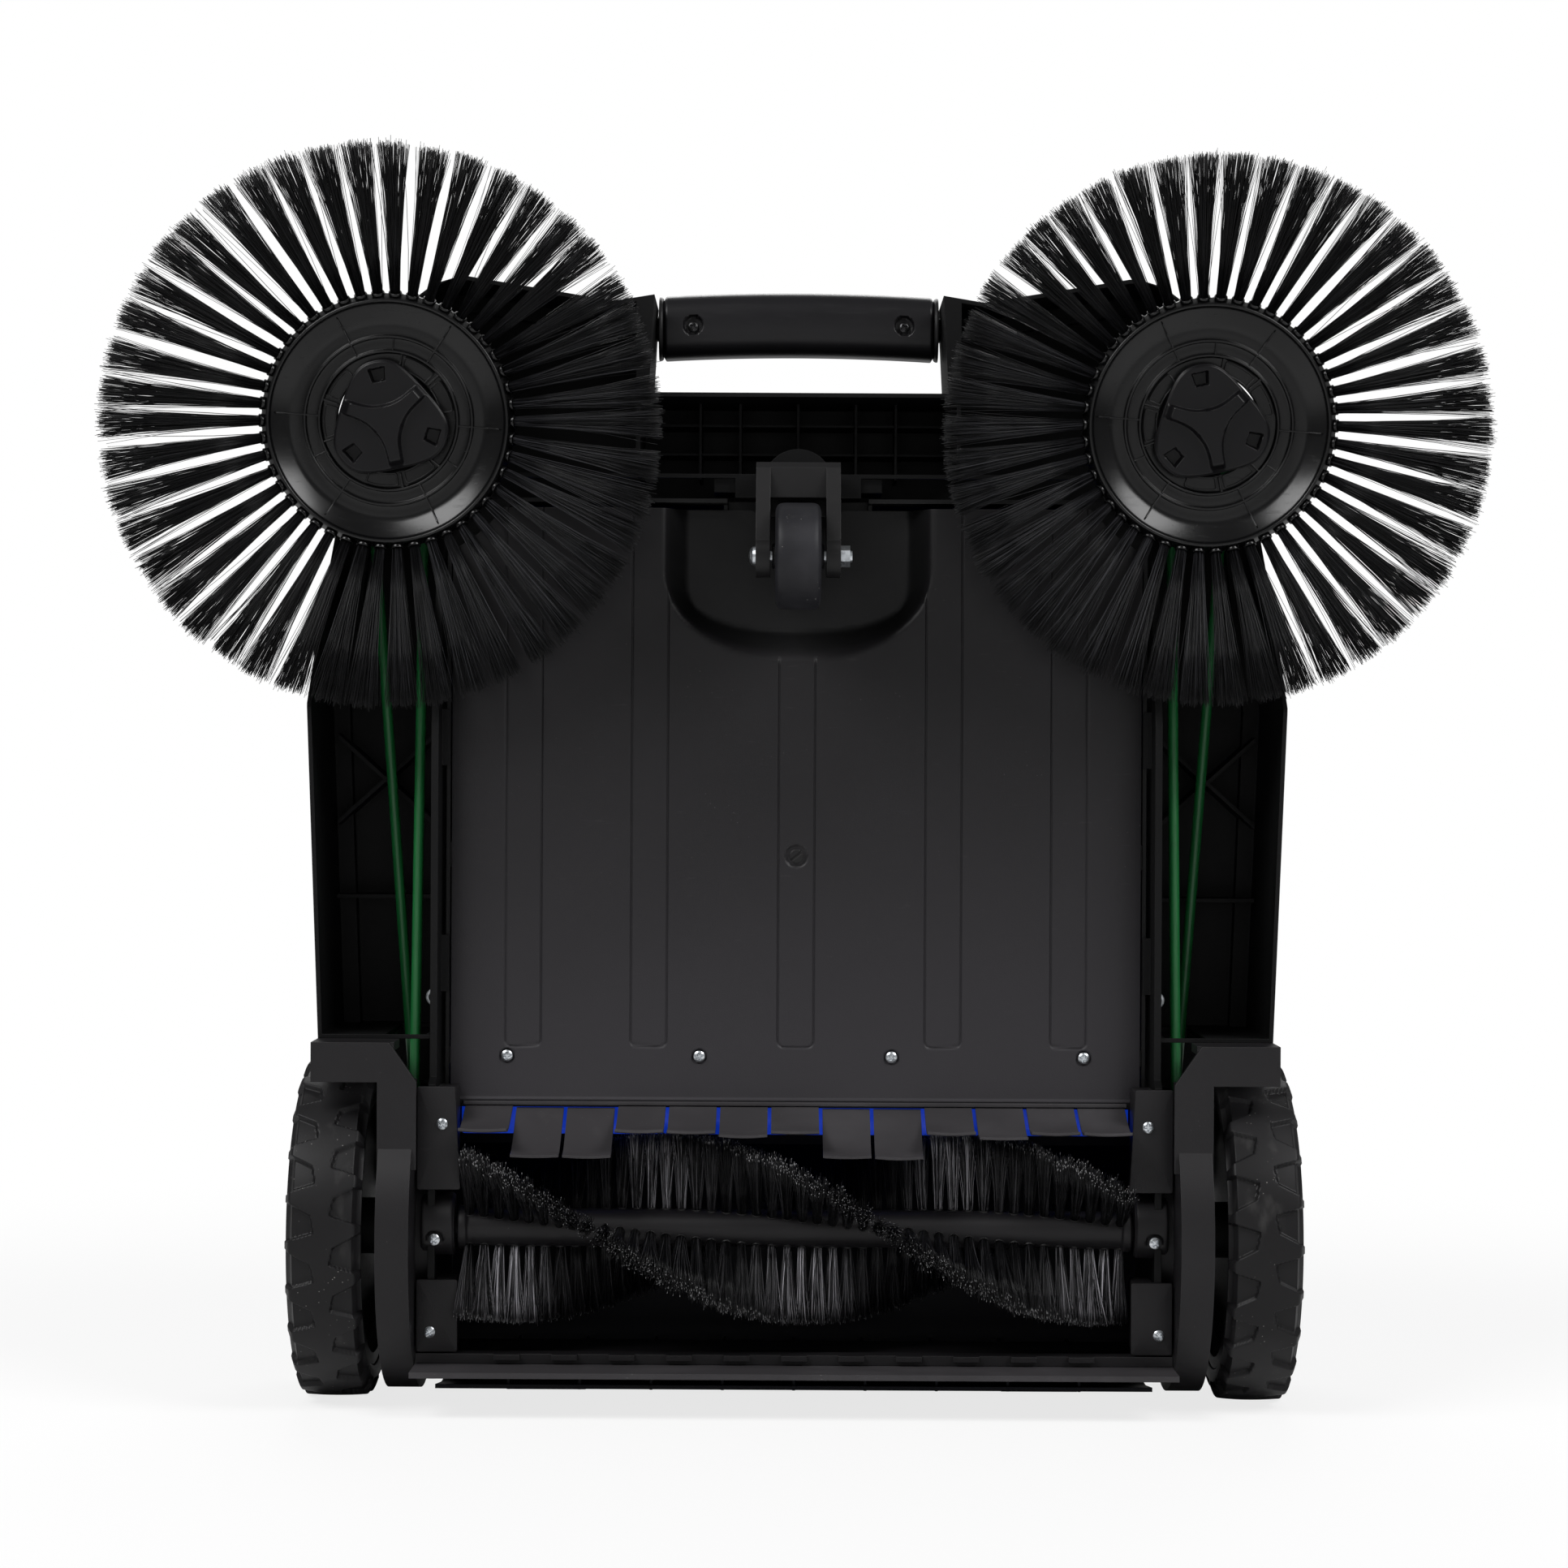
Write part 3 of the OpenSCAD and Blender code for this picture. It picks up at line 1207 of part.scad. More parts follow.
module hinge_knobs() stand() color(PLASTIC) both_sides() {
    knob_x = bar_x + bar_r + hinge_cheek + 1;
    rod_x(bar_x - bar_r - hinge_cheek - 2, knob_x, hinge_h, hinge_z, 5);
    rod_x(bar_x - bar_r - hinge_cheek - 4, bar_x - bar_r - hinge_cheek, hinge_h, hinge_z, 8);
    rod_x(knob_x - 1, knob_x, hinge_h, hinge_z, 8);
    mirror([1, 0, 0]) clamp_knob(-knob_x - 12, -knob_x, hinge_h, hinge_z);
}

// ---------------------------------------------------------------- drawing

centre_frame();
side_fairing_left();
side_fairing_right();
front_frame();
carry_grip();
grip_screws();
rear_hood();
roller_side_plates();
roller_bearing_caps();
chassis_screws();
wheel_guard_left();
wheel_guard_right();
wheel_axles();
rear_seal_holder();
rear_seal_strip();
castor_mount();
brush_bearings();
bar_brackets();
pivot_knobs();
parking_feet();
drive_belt_left();
drive_belt_right();
hopper_bin();
hopper_floor();
hopper_handle();
flap_strip();
floor_screws();
floor_lock_screw();
wheel_rim_left();
tyre_left();
hub_cap_left();
wheel_pulley_left();
wheel_gear();
wheel_rim_right();
tyre_right();
hub_cap_right();
wheel_pulley_right();
roller_core();
roller_bristles();
roller_pinion();
brush_disc_left();
brush_bristles_left();
brush_cap_left();
brush_shaft_left();
brush_pulley_left();
brush_disc_right();
brush_bristles_right();
brush_cap_right();
brush_shaft_right();
brush_pulley_right();
castor_fork();
castor_pin();
castor_bolt();
castor_nut();
castor_wheel();
lower_bar();
upper_bar();
foam_grip();
hinge_knobs();
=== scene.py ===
"""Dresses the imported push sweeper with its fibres, tyres, hubs, belts, screws and finishes.

Sizes are in millimetres in machine places: X along the wheel axles, height above the swept
ground, and Z along the machine, which points up while the sweeper stands parked on its rear
end. They become frame metres in one step, just before a mesh is made.
"""

from __future__ import annotations

import json
import logging
import math
from dataclasses import dataclass, field
from enum import Enum
from typing import Any, Callable, Sequence

import bmesh
import bpy
import numpy as np
from mathutils import Matrix, Vector

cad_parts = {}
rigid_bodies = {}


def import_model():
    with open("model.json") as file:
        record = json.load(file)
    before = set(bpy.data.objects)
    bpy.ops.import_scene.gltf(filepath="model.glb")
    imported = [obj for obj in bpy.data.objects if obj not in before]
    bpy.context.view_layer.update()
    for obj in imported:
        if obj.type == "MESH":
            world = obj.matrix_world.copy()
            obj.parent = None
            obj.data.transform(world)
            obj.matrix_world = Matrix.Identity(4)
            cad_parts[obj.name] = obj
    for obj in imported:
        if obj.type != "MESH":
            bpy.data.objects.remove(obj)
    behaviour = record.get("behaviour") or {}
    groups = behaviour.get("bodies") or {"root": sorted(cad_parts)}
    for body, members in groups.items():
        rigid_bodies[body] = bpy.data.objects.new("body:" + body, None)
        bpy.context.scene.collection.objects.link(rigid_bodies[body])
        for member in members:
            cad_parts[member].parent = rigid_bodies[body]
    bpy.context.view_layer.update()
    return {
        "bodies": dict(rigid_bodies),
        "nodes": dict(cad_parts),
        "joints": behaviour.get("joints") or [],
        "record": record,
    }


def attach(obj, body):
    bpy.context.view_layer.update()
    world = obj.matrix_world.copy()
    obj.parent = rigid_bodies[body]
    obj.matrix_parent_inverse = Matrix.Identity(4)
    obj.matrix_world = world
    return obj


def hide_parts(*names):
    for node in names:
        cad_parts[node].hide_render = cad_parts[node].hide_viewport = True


LOG = logging.getLogger("push_sweeper")
MM = 0.001
HALF_DEPTH = 132.5  # height of the frame's origin above the swept ground
FULL_TURN = 2 * math.pi
SIDES = (-1, 1)
BRUSH_AT = (289.0, 72.0, 692.0)  # where the right brush's tilted axis crosses its dish
BRUSH_TILT = math.radians(7)
ROLLER_HEIGHT = 67.343
FLOOR_SCREWS = (-204, -68, 68, 204)
Colour = tuple[float, float, float]
WHITE: Colour = (1.0, 1.0, 1.0)


def side_name(side: int) -> str:
    """Names the side of the machine that a sign of X stands for."""
    return "left" if side < 0 else "right"


def to_frame(points: np.ndarray) -> np.ndarray:
    """Turns machine places in millimetres into frame metres."""
    return (points - np.array([0.0, HALF_DEPTH, 0.0])) * MM


def unit(vectors: np.ndarray) -> np.ndarray:
    """Scales vectors to length one."""
    return vectors / np.linalg.norm(vectors, axis=-1, keepdims=True)


def smoothstep(low: float, high: float, value: np.ndarray) -> np.ndarray:
    """Rises from 0 at low to 1 at high along 3t^2 - 2t^3."""
    t = np.clip((value - low) / (high - low), 0.0, 1.0)
    return t * t * (3.0 - 2.0 * t)


def lattice(rows: int, columns: int, close_rows: bool, close_columns: bool) -> np.ndarray:
    """Joins the points of a grid, numbered row by row, into four-sided faces.

    Args:
        rows: Number of rows of points.
        columns: Number of points in a row.
        close_rows: Joins the last row to the first.
        close_columns: Joins the last column to the first.

    Returns:
        An array of faces with four point numbers each.
    """
    r = np.arange(rows if close_rows else rows - 1)[:, None]
    c = np.arange(columns if close_columns else columns - 1)[None, :]
    r1, c1 = (r + 1) % rows, (c + 1) % columns
    corners = [r * columns + c, r * columns + c1, r1 * columns + c1, r1 * columns + c]
    return np.stack(corners, -1).reshape(-1, 4)


def rounded(corners: Sequence[Sequence[float]], radius: float | Sequence[float],
            steps: int = 4, closed: bool = True) -> np.ndarray:
    """Rounds the corners of an outline with parabolic arcs.

    Each arc is (1-t)^2 a + 2t(1-t) c + t^2 b, where c is the corner and a and b lie on its
    two edges at the radius from it, or at the middle of an edge that is too short.

    Args:
        corners: Corner points of the outline.
        radius: Distance from a corner at which its arc begins, one or one for each corner.
        steps: Number of spans in an arc.
        closed: Whether the last corner joins the first.

    Returns:
        The points of the rounded outline.
    """
    c = np.asarray(corners, float)
    r = np.broadcast_to(np.asarray(radius, float), (len(c),))[:, None]
    before, after = np.roll(c, 1, 0) - c, np.roll(c, -1, 0) - c
    reach_a = np.minimum(r, np.linalg.norm(before, axis=1, keepdims=True) * 0.49)
    reach_b = np.minimum(r, np.linalg.norm(after, axis=1, keepdims=True) * 0.49)
    a, b = c + unit(before) * reach_a, c + unit(after) * reach_b
    t = np.linspace(0, 1, steps + 1)[None, :, None]
    arcs = (1 - t) ** 2 * a[:, None] + 2 * t * (1 - t) * c[:, None] + t ** 2 * b[:, None]
    if not closed:
        arcs[0], arcs[-1] = c[0], c[-1]
    return arcs.reshape(-1, c.shape[1])


@dataclass(frozen=True)
class Axis:
    """A turning axis: its centre and the directions of angle 0, angle 90 and the axis."""

    centre: tuple[float, float, float]
    zero: tuple[float, float, float]
    quarter: tuple[float, float, float]
    along: tuple[float, float, float]

    def place(self, local: np.ndarray) -> np.ndarray:
        """Turns points on the axis's own frame into machine places."""
        return np.array(self.centre) + local @ np.array([self.zero, self.quarter, self.along])

    @staticmethod
    def across(x: float, height: float, z: float) -> "Axis":
        """An axis along X: angle 0 points at the ground and angle 90 along Z."""
        return Axis((x, height, z), (0, -1, 0), (0, 0, 1), (1, 0, 0))

    @staticmethod
    def upright(x: float, height: float, z: float) -> "Axis":
        """An axis that points at the ground: angle 0 is X and angle 90 is Z."""
        return Axis((x, height, z), (1, 0, 0), (0, 0, 1), (0, -1, 0))


@dataclass
class Shell:
    """Points and faces of one surface, with numbers for each point."""

    points: np.ndarray
    quads: np.ndarray = field(default_factory=lambda: np.zeros((0, 4), int))
    triangles: np.ndarray = field(default_factory=lambda: np.zeros((0, 3), int))
    numbers: dict[str, np.ndarray] = field(default_factory=dict)

    def joined(self, other: "Shell") -> "Shell":
        """Puts another surface beside this one, in one set of points.

        Args:
            other: The surface to put beside this one.

        Returns:
            One surface that holds both.
        """
        count = len(self.points)
        names = set(self.numbers) | set(other.numbers)
        numbers = {
            name: np.concatenate([
                shell.numbers.get(name, np.zeros(len(shell.points))) for shell in (self, other)
            ])
            for name in names
        }
        return Shell(
            np.concatenate([self.points, other.points]),
            np.concatenate([self.quads, other.quads + count]),
            np.concatenate([self.triangles, other.triangles + count]),
            numbers,
        )


def join_all(shells: Sequence[Shell]) -> Shell:
    """Puts several surfaces into one.

    Args:
        shells: The surfaces, in the order their points are put.

    Returns:
        One surface that holds them all.
    """
    whole = shells[0]
    for shell in shells[1:]:
        whole = whole.joined(shell)
    return whole


def woven(grid: np.ndarray, close_rows: bool, close_columns: bool,
          axis: Axis | None = None) -> Shell:
    """Joins a grid of points into one surface.

    Args:
        grid: Rows of points.
        close_rows: Joins the last row to the first.
        close_columns: Joins the last column to the first.
        axis: The axis on whose frame the points are given, or None for machine places.

    Returns:
        The surface.
    """
    points = grid.reshape(-1, 3)
    return Shell(points if axis is None else axis.place(points),
                 lattice(*grid.shape[:2], close_rows, close_columns))


def headed(axis: Axis, angle: np.ndarray, face: np.ndarray, back: np.ndarray) -> Shell:
    """Closes a face over a round grid with a turned back.

    Args:
        axis: The axis on whose frame the points are given.
        angle: Column of the angles of the grid's rows.
        face: Grid of the face's points, from the middle out.
        back: Pairs of radius and place along the axis, from the face's rim to the axis.

    Returns:
        The closed solid.
    """
    behind = np.stack([
        back[None, :, 0] * np.cos(angle), back[None, :, 0] * np.sin(angle),
        np.broadcast_to(back[None, :, 1], (len(angle), len(back))),
    ], -1)
    return woven(np.concatenate([face, behind], 1), True, False, axis)


def turned(axis: Axis, profile: np.ndarray, steps: int, closed: bool = True,
           wave: Callable[[np.ndarray, np.ndarray], np.ndarray] | None = None) -> Shell:
    """Turns a profile about an axis.

    A point is centre + radius (cos a zero + sin a quarter) + place along, for the profile's
    (radius, place) pairs and the angle a, where wave(a, profile row) may add to the radius.

    Args:
        axis: The turning axis.
        profile: Pairs of radius and place along the axis.
        steps: Number of spans in the full turn.
        closed: Whether the profile is a closed loop, which keeps clear of the axis.
        wave: Gives the amount to add to the radius from angles and profile row numbers.

    Returns:
        The turned surface.
    """
    angle = np.linspace(0, FULL_TURN, steps, endpoint=False)[:, None]
    radius = np.broadcast_to(profile[None, :, 0], (steps, len(profile)))
    if wave is not None:
        radius = radius + wave(angle, np.arange(len(profile))[None, :])
    local = np.stack([
        radius * np.cos(angle), radius * np.sin(angle),
        np.broadcast_to(profile[None, :, 1], radius.shape),
    ], -1)
    return woven(local, True, closed, axis)


def swept_loop(path: np.ndarray, square_to: np.ndarray, radius: float, sides: int) -> Shell:
    """Carries a circle round a closed path.

    Args:
        path: Points of the closed path.
        square_to: A vector for each point that is never along the path there.
        radius: Radius of the circle.
        sides: Number of sides of the circle.

    Returns:
        The closed tube.
    """
    along = unit(np.roll(path, -1, 0) - np.roll(path, 1, 0))
    first = unit(np.cross(square_to, along))
    second = np.cross(along, first)
    angle = np.linspace(0, FULL_TURN, sides, endpoint=False)[None, :, None]
    points = path[:, None] + radius * (first[:, None] * np.cos(angle)
                                       + second[:, None] * np.sin(angle))
    return woven(points, True, True)


def slab(front: np.ndarray, back: np.ndarray) -> Shell:
    """Closes two facing sheets into one solid with a rim between their borders.

    Args:
        front: Grid of points of the front sheet.
        back: Grid of points behind it, with as many rows and columns.

    Returns:
        The closed solid.
    """
    rows, columns = front.shape[:2]
    count = rows * columns
    border = np.concatenate([
        np.arange(columns), np.arange(1, rows) * columns + columns - 1,
        count - 2 - np.arange(columns - 1), np.arange(rows - 2, 0, -1) * columns])
    after = np.roll(border, -1)
    rim = np.stack([border, after, after + count, border + count], -1)
    faces = lattice(rows, columns, False, False)
    return Shell(np.concatenate([front.reshape(-1, 3), back.reshape(-1, 3)]),
                 np.concatenate([faces, faces + count, rim]))


def side_normals(path: np.ndarray) -> np.ndarray:
    """The unit vectors square to a closed flat path, on its right, at each of its points."""
    along = unit(np.roll(path, -1, 0) - np.roll(path, 1, 0))
    return np.stack([along[:, 1], -along[:, 0]], -1)


def plateau(outline: np.ndarray, rings: Sequence[tuple[float, float]]) -> Shell:
    """Carries an outline, drawn as (X, Z), up through rings that are set in by an inset.

    Args:
        outline: Points of the outline, anticlockwise.
        rings: Pairs of inset and height, from the face to the back.

    Returns:
        The closed solid.
    """
    normal = side_normals(outline)
    middle = np.broadcast_to(outline.mean(0), outline.shape)
    flats = [middle, *(outline - normal * inset for inset, _ in rings), middle]
    heights = [rings[0][1], *(height for _, height in rings), rings[-1][1]]
    grid = np.stack([
        np.stack([flat[:, 0], np.full(len(flat), height), flat[:, 1]], -1)
        for flat, height in zip(flats, heights)])
    return woven(grid, False, True)


def graded(low: float, high: float, coarse: float,
           spots: Sequence[tuple[float, float, float]]) -> np.ndarray:
    """Places along a line: far apart, and close together round chosen spots.

    Args:
        low: First place.
        high: Last place.
        coarse: Distance between places away from the spots.
        spots: Middle, half width and distance between places of each spot.

    Returns:
        The places in order.
    """
    parts = [np.linspace(low, high, int((high - low) / coarse) + 1)]
    clear = 0.4  # share of a spot's spacing that stays free round the spot
    for middle, half, fine in spots:
        parts = [part[np.abs(part - middle) > half + clear * fine] for part in parts]
        parts.append(np.arange(middle - half, middle + half + 1e-6, fine))
    places = np.unique(np.round(np.concatenate([[low, high], *parts]), 4))
    return places[(places >= low) & (places <= high)]


def bar(start: Sequence[float], end: Sequence[float], lift: Sequence[float],
        width: float, height: float) -> Shell:
    """A straight rib with softened top edges, from start to end.

    Its section is carried along the line: the foot lies on the line, and the top stands at
    the height along lift.

    Args:
        start: Foot of the rib's first end.
        end: Foot of the rib's second end.
        lift: Direction in which the rib stands.
        width: Thickness of the rib.
        height: Height of the rib.

    Returns:
        The closed rib.
    """
    start, end = np.asarray(start, float), np.asarray(end, float)
    up = unit(np.asarray(lift, float))
    side = unit(np.cross(end - start, up))
    top, softening, end_share = width * 0.36, 0.25, 0.8
    outline = rounded([[-width / 2, 0], [width / 2, 0], [top, height], [-top, height]],
                      [0.01, 0.01, 0.3, 0.3], 2)
    section = outline[:, :1] * side + outline[:, 1:] * up
    inset = unit(end - start) * softening
    middle = section.mean(0)
    small = (section - middle) * end_share
    rings = [start + middle + small, start + inset + section,
             end - inset + section, end + middle + small]
    count = len(outline)
    points = np.concatenate([(start + middle)[None], *rings, (end + middle)[None]])
    quads = lattice(4, count, False, True) + 1
    ring = np.arange(count)
    first = np.stack([np.zeros(count, int), 1 + ring, 1 + (ring + 1) % count], -1)
    last_base = 1 + 3 * count
    last = np.stack([np.full(count, 4 * count + 1), last_base + (ring + 1) % count,
                     last_base + ring], -1)
    return Shell(points, quads, np.concatenate([first, last]))


@dataclass
class Fibres:
    """Many thin tapered fibres, each a three-sided closed prism along a bent line.

    A fibre's middle line is root + t (tip - root) + 4 t (1 - t) bend for t from 0 to 1.
    """

    rings: int = 4
    corners: int = 3
    taper: float = 0.35

    def grow(self, root: np.ndarray, tip: np.ndarray, bend: np.ndarray, radius: np.ndarray,
             turn: np.ndarray, shade: np.ndarray) -> Shell:
        """Makes the fibres.

        Args:
            root: Where each fibre starts.
            tip: Where each fibre ends.
            bend: How far the middle of each fibre stands off its straight line.
            radius: Radius of each fibre at its root.
            turn: Angle of each fibre's section about its line.
            shade: A number from 0 to about 1 that tells fibres apart, scaled by a painted
                sheen.

        Returns:
            The fibres as one surface, with "reach" from root to tip and "shade".
        """
        count, t = len(root), np.linspace(0, 1, self.rings)
        line = (root[:, None] + (tip - root)[:, None] * t[None, :, None]
                + bend[:, None] * (4 * t * (1 - t))[None, :, None])
        along = unit(tip - root)
        first = unit(np.cross(along, np.array([0.31, 0.53, 0.79])))
        second = np.cross(along, first)
        angle = turn[:, None] + np.arange(self.corners)[None, :] * FULL_TURN / self.corners
        spoke = (first[:, None] * np.cos(angle)[..., None]
                 + second[:, None] * np.sin(angle)[..., None])
        thick = radius[:, None] * (1 - self.taper * t[None, :])
        points = line[:, :, None] + thick[:, :, None, None] * spoke[:, None]
        block = self.rings * self.corners
        base = (np.arange(count) * block)[:, None, None]
        quads = (base + lattice(self.rings, self.corners, False, True)[None]).reshape(-1, 4)
        ring = np.arange(self.corners)
        caps = np.stack([ring[::-1], block - self.corners + ring])
        triangles = (base + caps[None]).reshape(-1, self.corners)
        return Shell(
            points.reshape(-1, 3), quads[:, ::-1], triangles[:, ::-1],
            {"reach": np.broadcast_to(t[None, :, None], points.shape[:3]).ravel(),
             "shade": np.repeat(shade, block)},
        )


# ------------------------------------------------------------------ shaders


class Value:
    """A number or colour from a socket; operators on numbers add Math nodes."""

    def __init__(self, nodes: "Nodes", socket: bpy.types.NodeSocket) -> None:
        """Keeps the socket and the nodes that it belongs to."""
        self.nodes = nodes
        self.socket = socket

    def _math(self, operation: str, left: Any, right: Any) -> "Value":
        """Adds a Math node on two values."""
        return self.nodes.node("ShaderNodeMath", {"operation": operation},
                               {0: left, 1: right})

    def __add__(self, other: Any) -> "Value":
        """Sum."""
        return self._math("ADD", self, other)

    __radd__ = __add__

    def __sub__(self, other: Any) -> "Value":
        """Difference."""
        return self._math("SUBTRACT", self, other)

    def __rsub__(self, other: Any) -> "Value":
        """Difference from a plain number."""
        return self._math("SUBTRACT", other, self)

    def __mul__(self, other: Any) -> "Value":
        """Product."""
        return self._math("MULTIPLY", self, other)

    __rmul__ = __mul__

    def __pow__(self, other: Any) -> "Value":
        """Power."""
        return self._math("POWER", self, other)

    def step(self, low: float, high: float) -> "Value":
        """Rises smoothly from 0 at low to 1 at high.

        Args:
            low: The value up to which the result is 0.
            high: The value from which the result is 1.

        Returns:
            The smooth step of this value.
        """
        return self.nodes.node(
            "ShaderNodeMapRange", {"interpolation_type": "SMOOTHSTEP"},
            {"Value": self, "From Min": low, "From Max": high, "To Min": 0.0, "To Max": 1.0},
        )


class Nodes:
    """The nodes of a material or world, with one method that adds any node."""

    def __init__(self, owner: bpy.types.Material | bpy.types.World, output: str) -> None:
        """Clears the owner's nodes and adds its output node.

        Args:
            owner: The material or world.
            output: Blender's name of the output node's type.
        """
        owner.use_nodes = True
        self.tree = owner.node_tree
        self.tree.nodes.clear()
        self.output = self.tree.nodes.new(output).inputs["Surface"]

    def node(self, kind: str, settings: dict[str, Any] | None = None,
             inputs: dict[str | int, Any] | None = None, out: str | int = 0) -> Value:
        """Adds a node.

        Args:
            kind: Blender's name of the node type.
            settings: Settings of the node, which are set first.
            inputs: Values or links of its sockets.
            out: Name or number of the output to return.

        Returns:
            The chosen output.
        """
        made = self.tree.nodes.new(kind)
        for key, value in (settings or {}).items():
            setattr(made, key, value)
        for key, value in (inputs or {}).items():
            self.put(made.inputs[key], value)
        return Value(self, made.outputs[out])

    def put(self, socket: bpy.types.NodeSocket, value: Any) -> None:
        """Links or sets one socket.

        Args:
            socket: The input socket.
            value: A Value to link, or a number or colour to set.
        """
        if isinstance(value, Value):
            self.tree.links.new(value.socket, socket)
        elif isinstance(value, tuple) and len(value) == 3 and socket.type == "RGBA":
            socket.default_value = (*value, 1.0)
        else:
            socket.default_value = value

    def white_for_camera(self, glossy: float) -> Value:
        """How far a ray sees plain white: wholly from the camera, and by glossy off gloss.

        Args:
            glossy: The share of white that a glossy ray sees.

        Returns:
            The share of white.
        """
        camera = self.node("ShaderNodeLightPath", out="Is Camera Ray")
        kinds = camera.socket.node.outputs
        share = Value(self, kinds["Is Glossy Ray"]) * glossy + camera
        return self.node("ShaderNodeMath", {"operation": "ADD", "use_clamp": True},
                         {0: share, 1: Value(self, kinds["Is Transmission Ray"])})


class Shader(Nodes):
    """A material with a Principled shader."""

    def __init__(self, name: str) -> None:
        """Makes the material under a name.

        Args:
            name: The material's name.
        """
        self.material = bpy.data.materials.new(name)
        super().__init__(self.material, "ShaderNodeOutputMaterial")
        self.surface = self.tree.nodes.new("ShaderNodeBsdfPrincipled")
        self.put(self.output, Value(self, self.surface.outputs[0]))

    def dress(self, **sockets: Any) -> None:
        """Sets the Principled shader's sockets; an underscore stands for a space."""
        for key, value in sockets.items():
            self.put(self.surface.inputs[key.replace("_", " ")], value)

    def place(self) -> Value:
        """The point on the object, in metres."""
        return self.node("ShaderNodeTexCoord", out="Object")

    def coordinate(self, letter: str) -> Value:
        """One coordinate of the point on the object, in metres."""
        return self.node("ShaderNodeSeparateXYZ", {}, {"Vector": self.place()}, letter)

    def noise(self, scale: float, detail: float = 2.0,
              stretch: tuple[float, float, float] | None = None) -> Value:
        """Noise from 0 to 1.

        Args:
            scale: Number of features in a metre.
            detail: Number of finer layers.
            stretch: Scale of the coordinates on each axis.

        Returns:
            The noise value.
        """
        where = self.place()
        if stretch:
            where = self.node("ShaderNodeMapping", {}, {"Vector": where, "Scale": stretch})
        return self.node("ShaderNodeTexNoise", {"noise_dimensions": "3D"},
                         {"Vector": where, "Scale": scale, "Detail": detail})

    def mix(self, share: Value | float, first: Any, second: Any) -> Value:
        """Blends two colours: share 0 is the first."""
        return self.node("ShaderNodeMix", {"data_type": "RGBA"},
                         {0: share, 6: first, 7: second}, 2)

    def specks(self, scale: float, size: float) -> Value:
        """Small separate specks, 1 inside a speck and 0 between them.

        Args:
            scale: Number of cells in a metre.
            size: Radius of a speck as a share of its cell.

        Returns:
            The mask of the specks.
        """
        near = self.node("ShaderNodeTexVoronoi", {"feature": "F1"},
                         {"Vector": self.place(), "Scale": scale, "Randomness": 1.0},
                         "Distance")
        return 1.0 - near.step(size * 0.4, size)

    def soft_edge(self, radius: float) -> tuple[Value, Value]:
        """The normal of a surface with softened edges, and a mask of the edges.

        Args:
            radius: Radius of the softened edge in metres.

        Returns:
            The softened normal, and the mask.
        """
        soft = self.node("ShaderNodeBevel", {"samples": 4}, {"Radius": radius})
        flat = self.node("ShaderNodeNewGeometry", out="True Normal")
        same = self.node("ShaderNodeVectorMath", {"operation": "DOT_PRODUCT"},
                         {0: soft, 1: flat}, "Value")
        return soft, (1.0 - same).step(0.02, 0.2)

    def bump(self, height: Value, strength: float, depth: float,
             normal: Value | None = None) -> Value:
        """A bumped normal: depth is the full height of the bumps in metres.

        Args:
            height: Height pattern from 0 to 1.
            strength: Share of the bump that is used.
            depth: Full height of the bumps in metres.
            normal: The normal to start from, or None for the surface's own.

        Returns:
            The bumped normal.
        """
        sockets = {"Height": height, "Strength": strength, "Distance": depth}
        if normal is not None:
            sockets["Normal"] = normal
        return self.node("ShaderNodeBump", {}, sockets)


class Wear(Enum):
    """How much dust, scuffs and pale edges a surface shows; pale edges are partly wear, partly
    painted highlight.
    """

    CLEAN = (0.12, 0.0, 0.35)
    USED = (0.4, 0.5, 0.6)
    DUSTY = (1.0, 1.0, 0.8)


# painted shade: the tone of black plastic standing in deep shade
SHADE_DARK: Colour = (0.0018, 0.0018, 0.002)
SHADE_LIGHT: Colour = (0.0034, 0.0034, 0.0037)
# painted reflection of the pale floor on the hopper panel
FLOOR_REFLECTION: Colour = (0.031, 0.029, 0.033)
SPOT: Colour = (0.3, 0.29, 0.28)


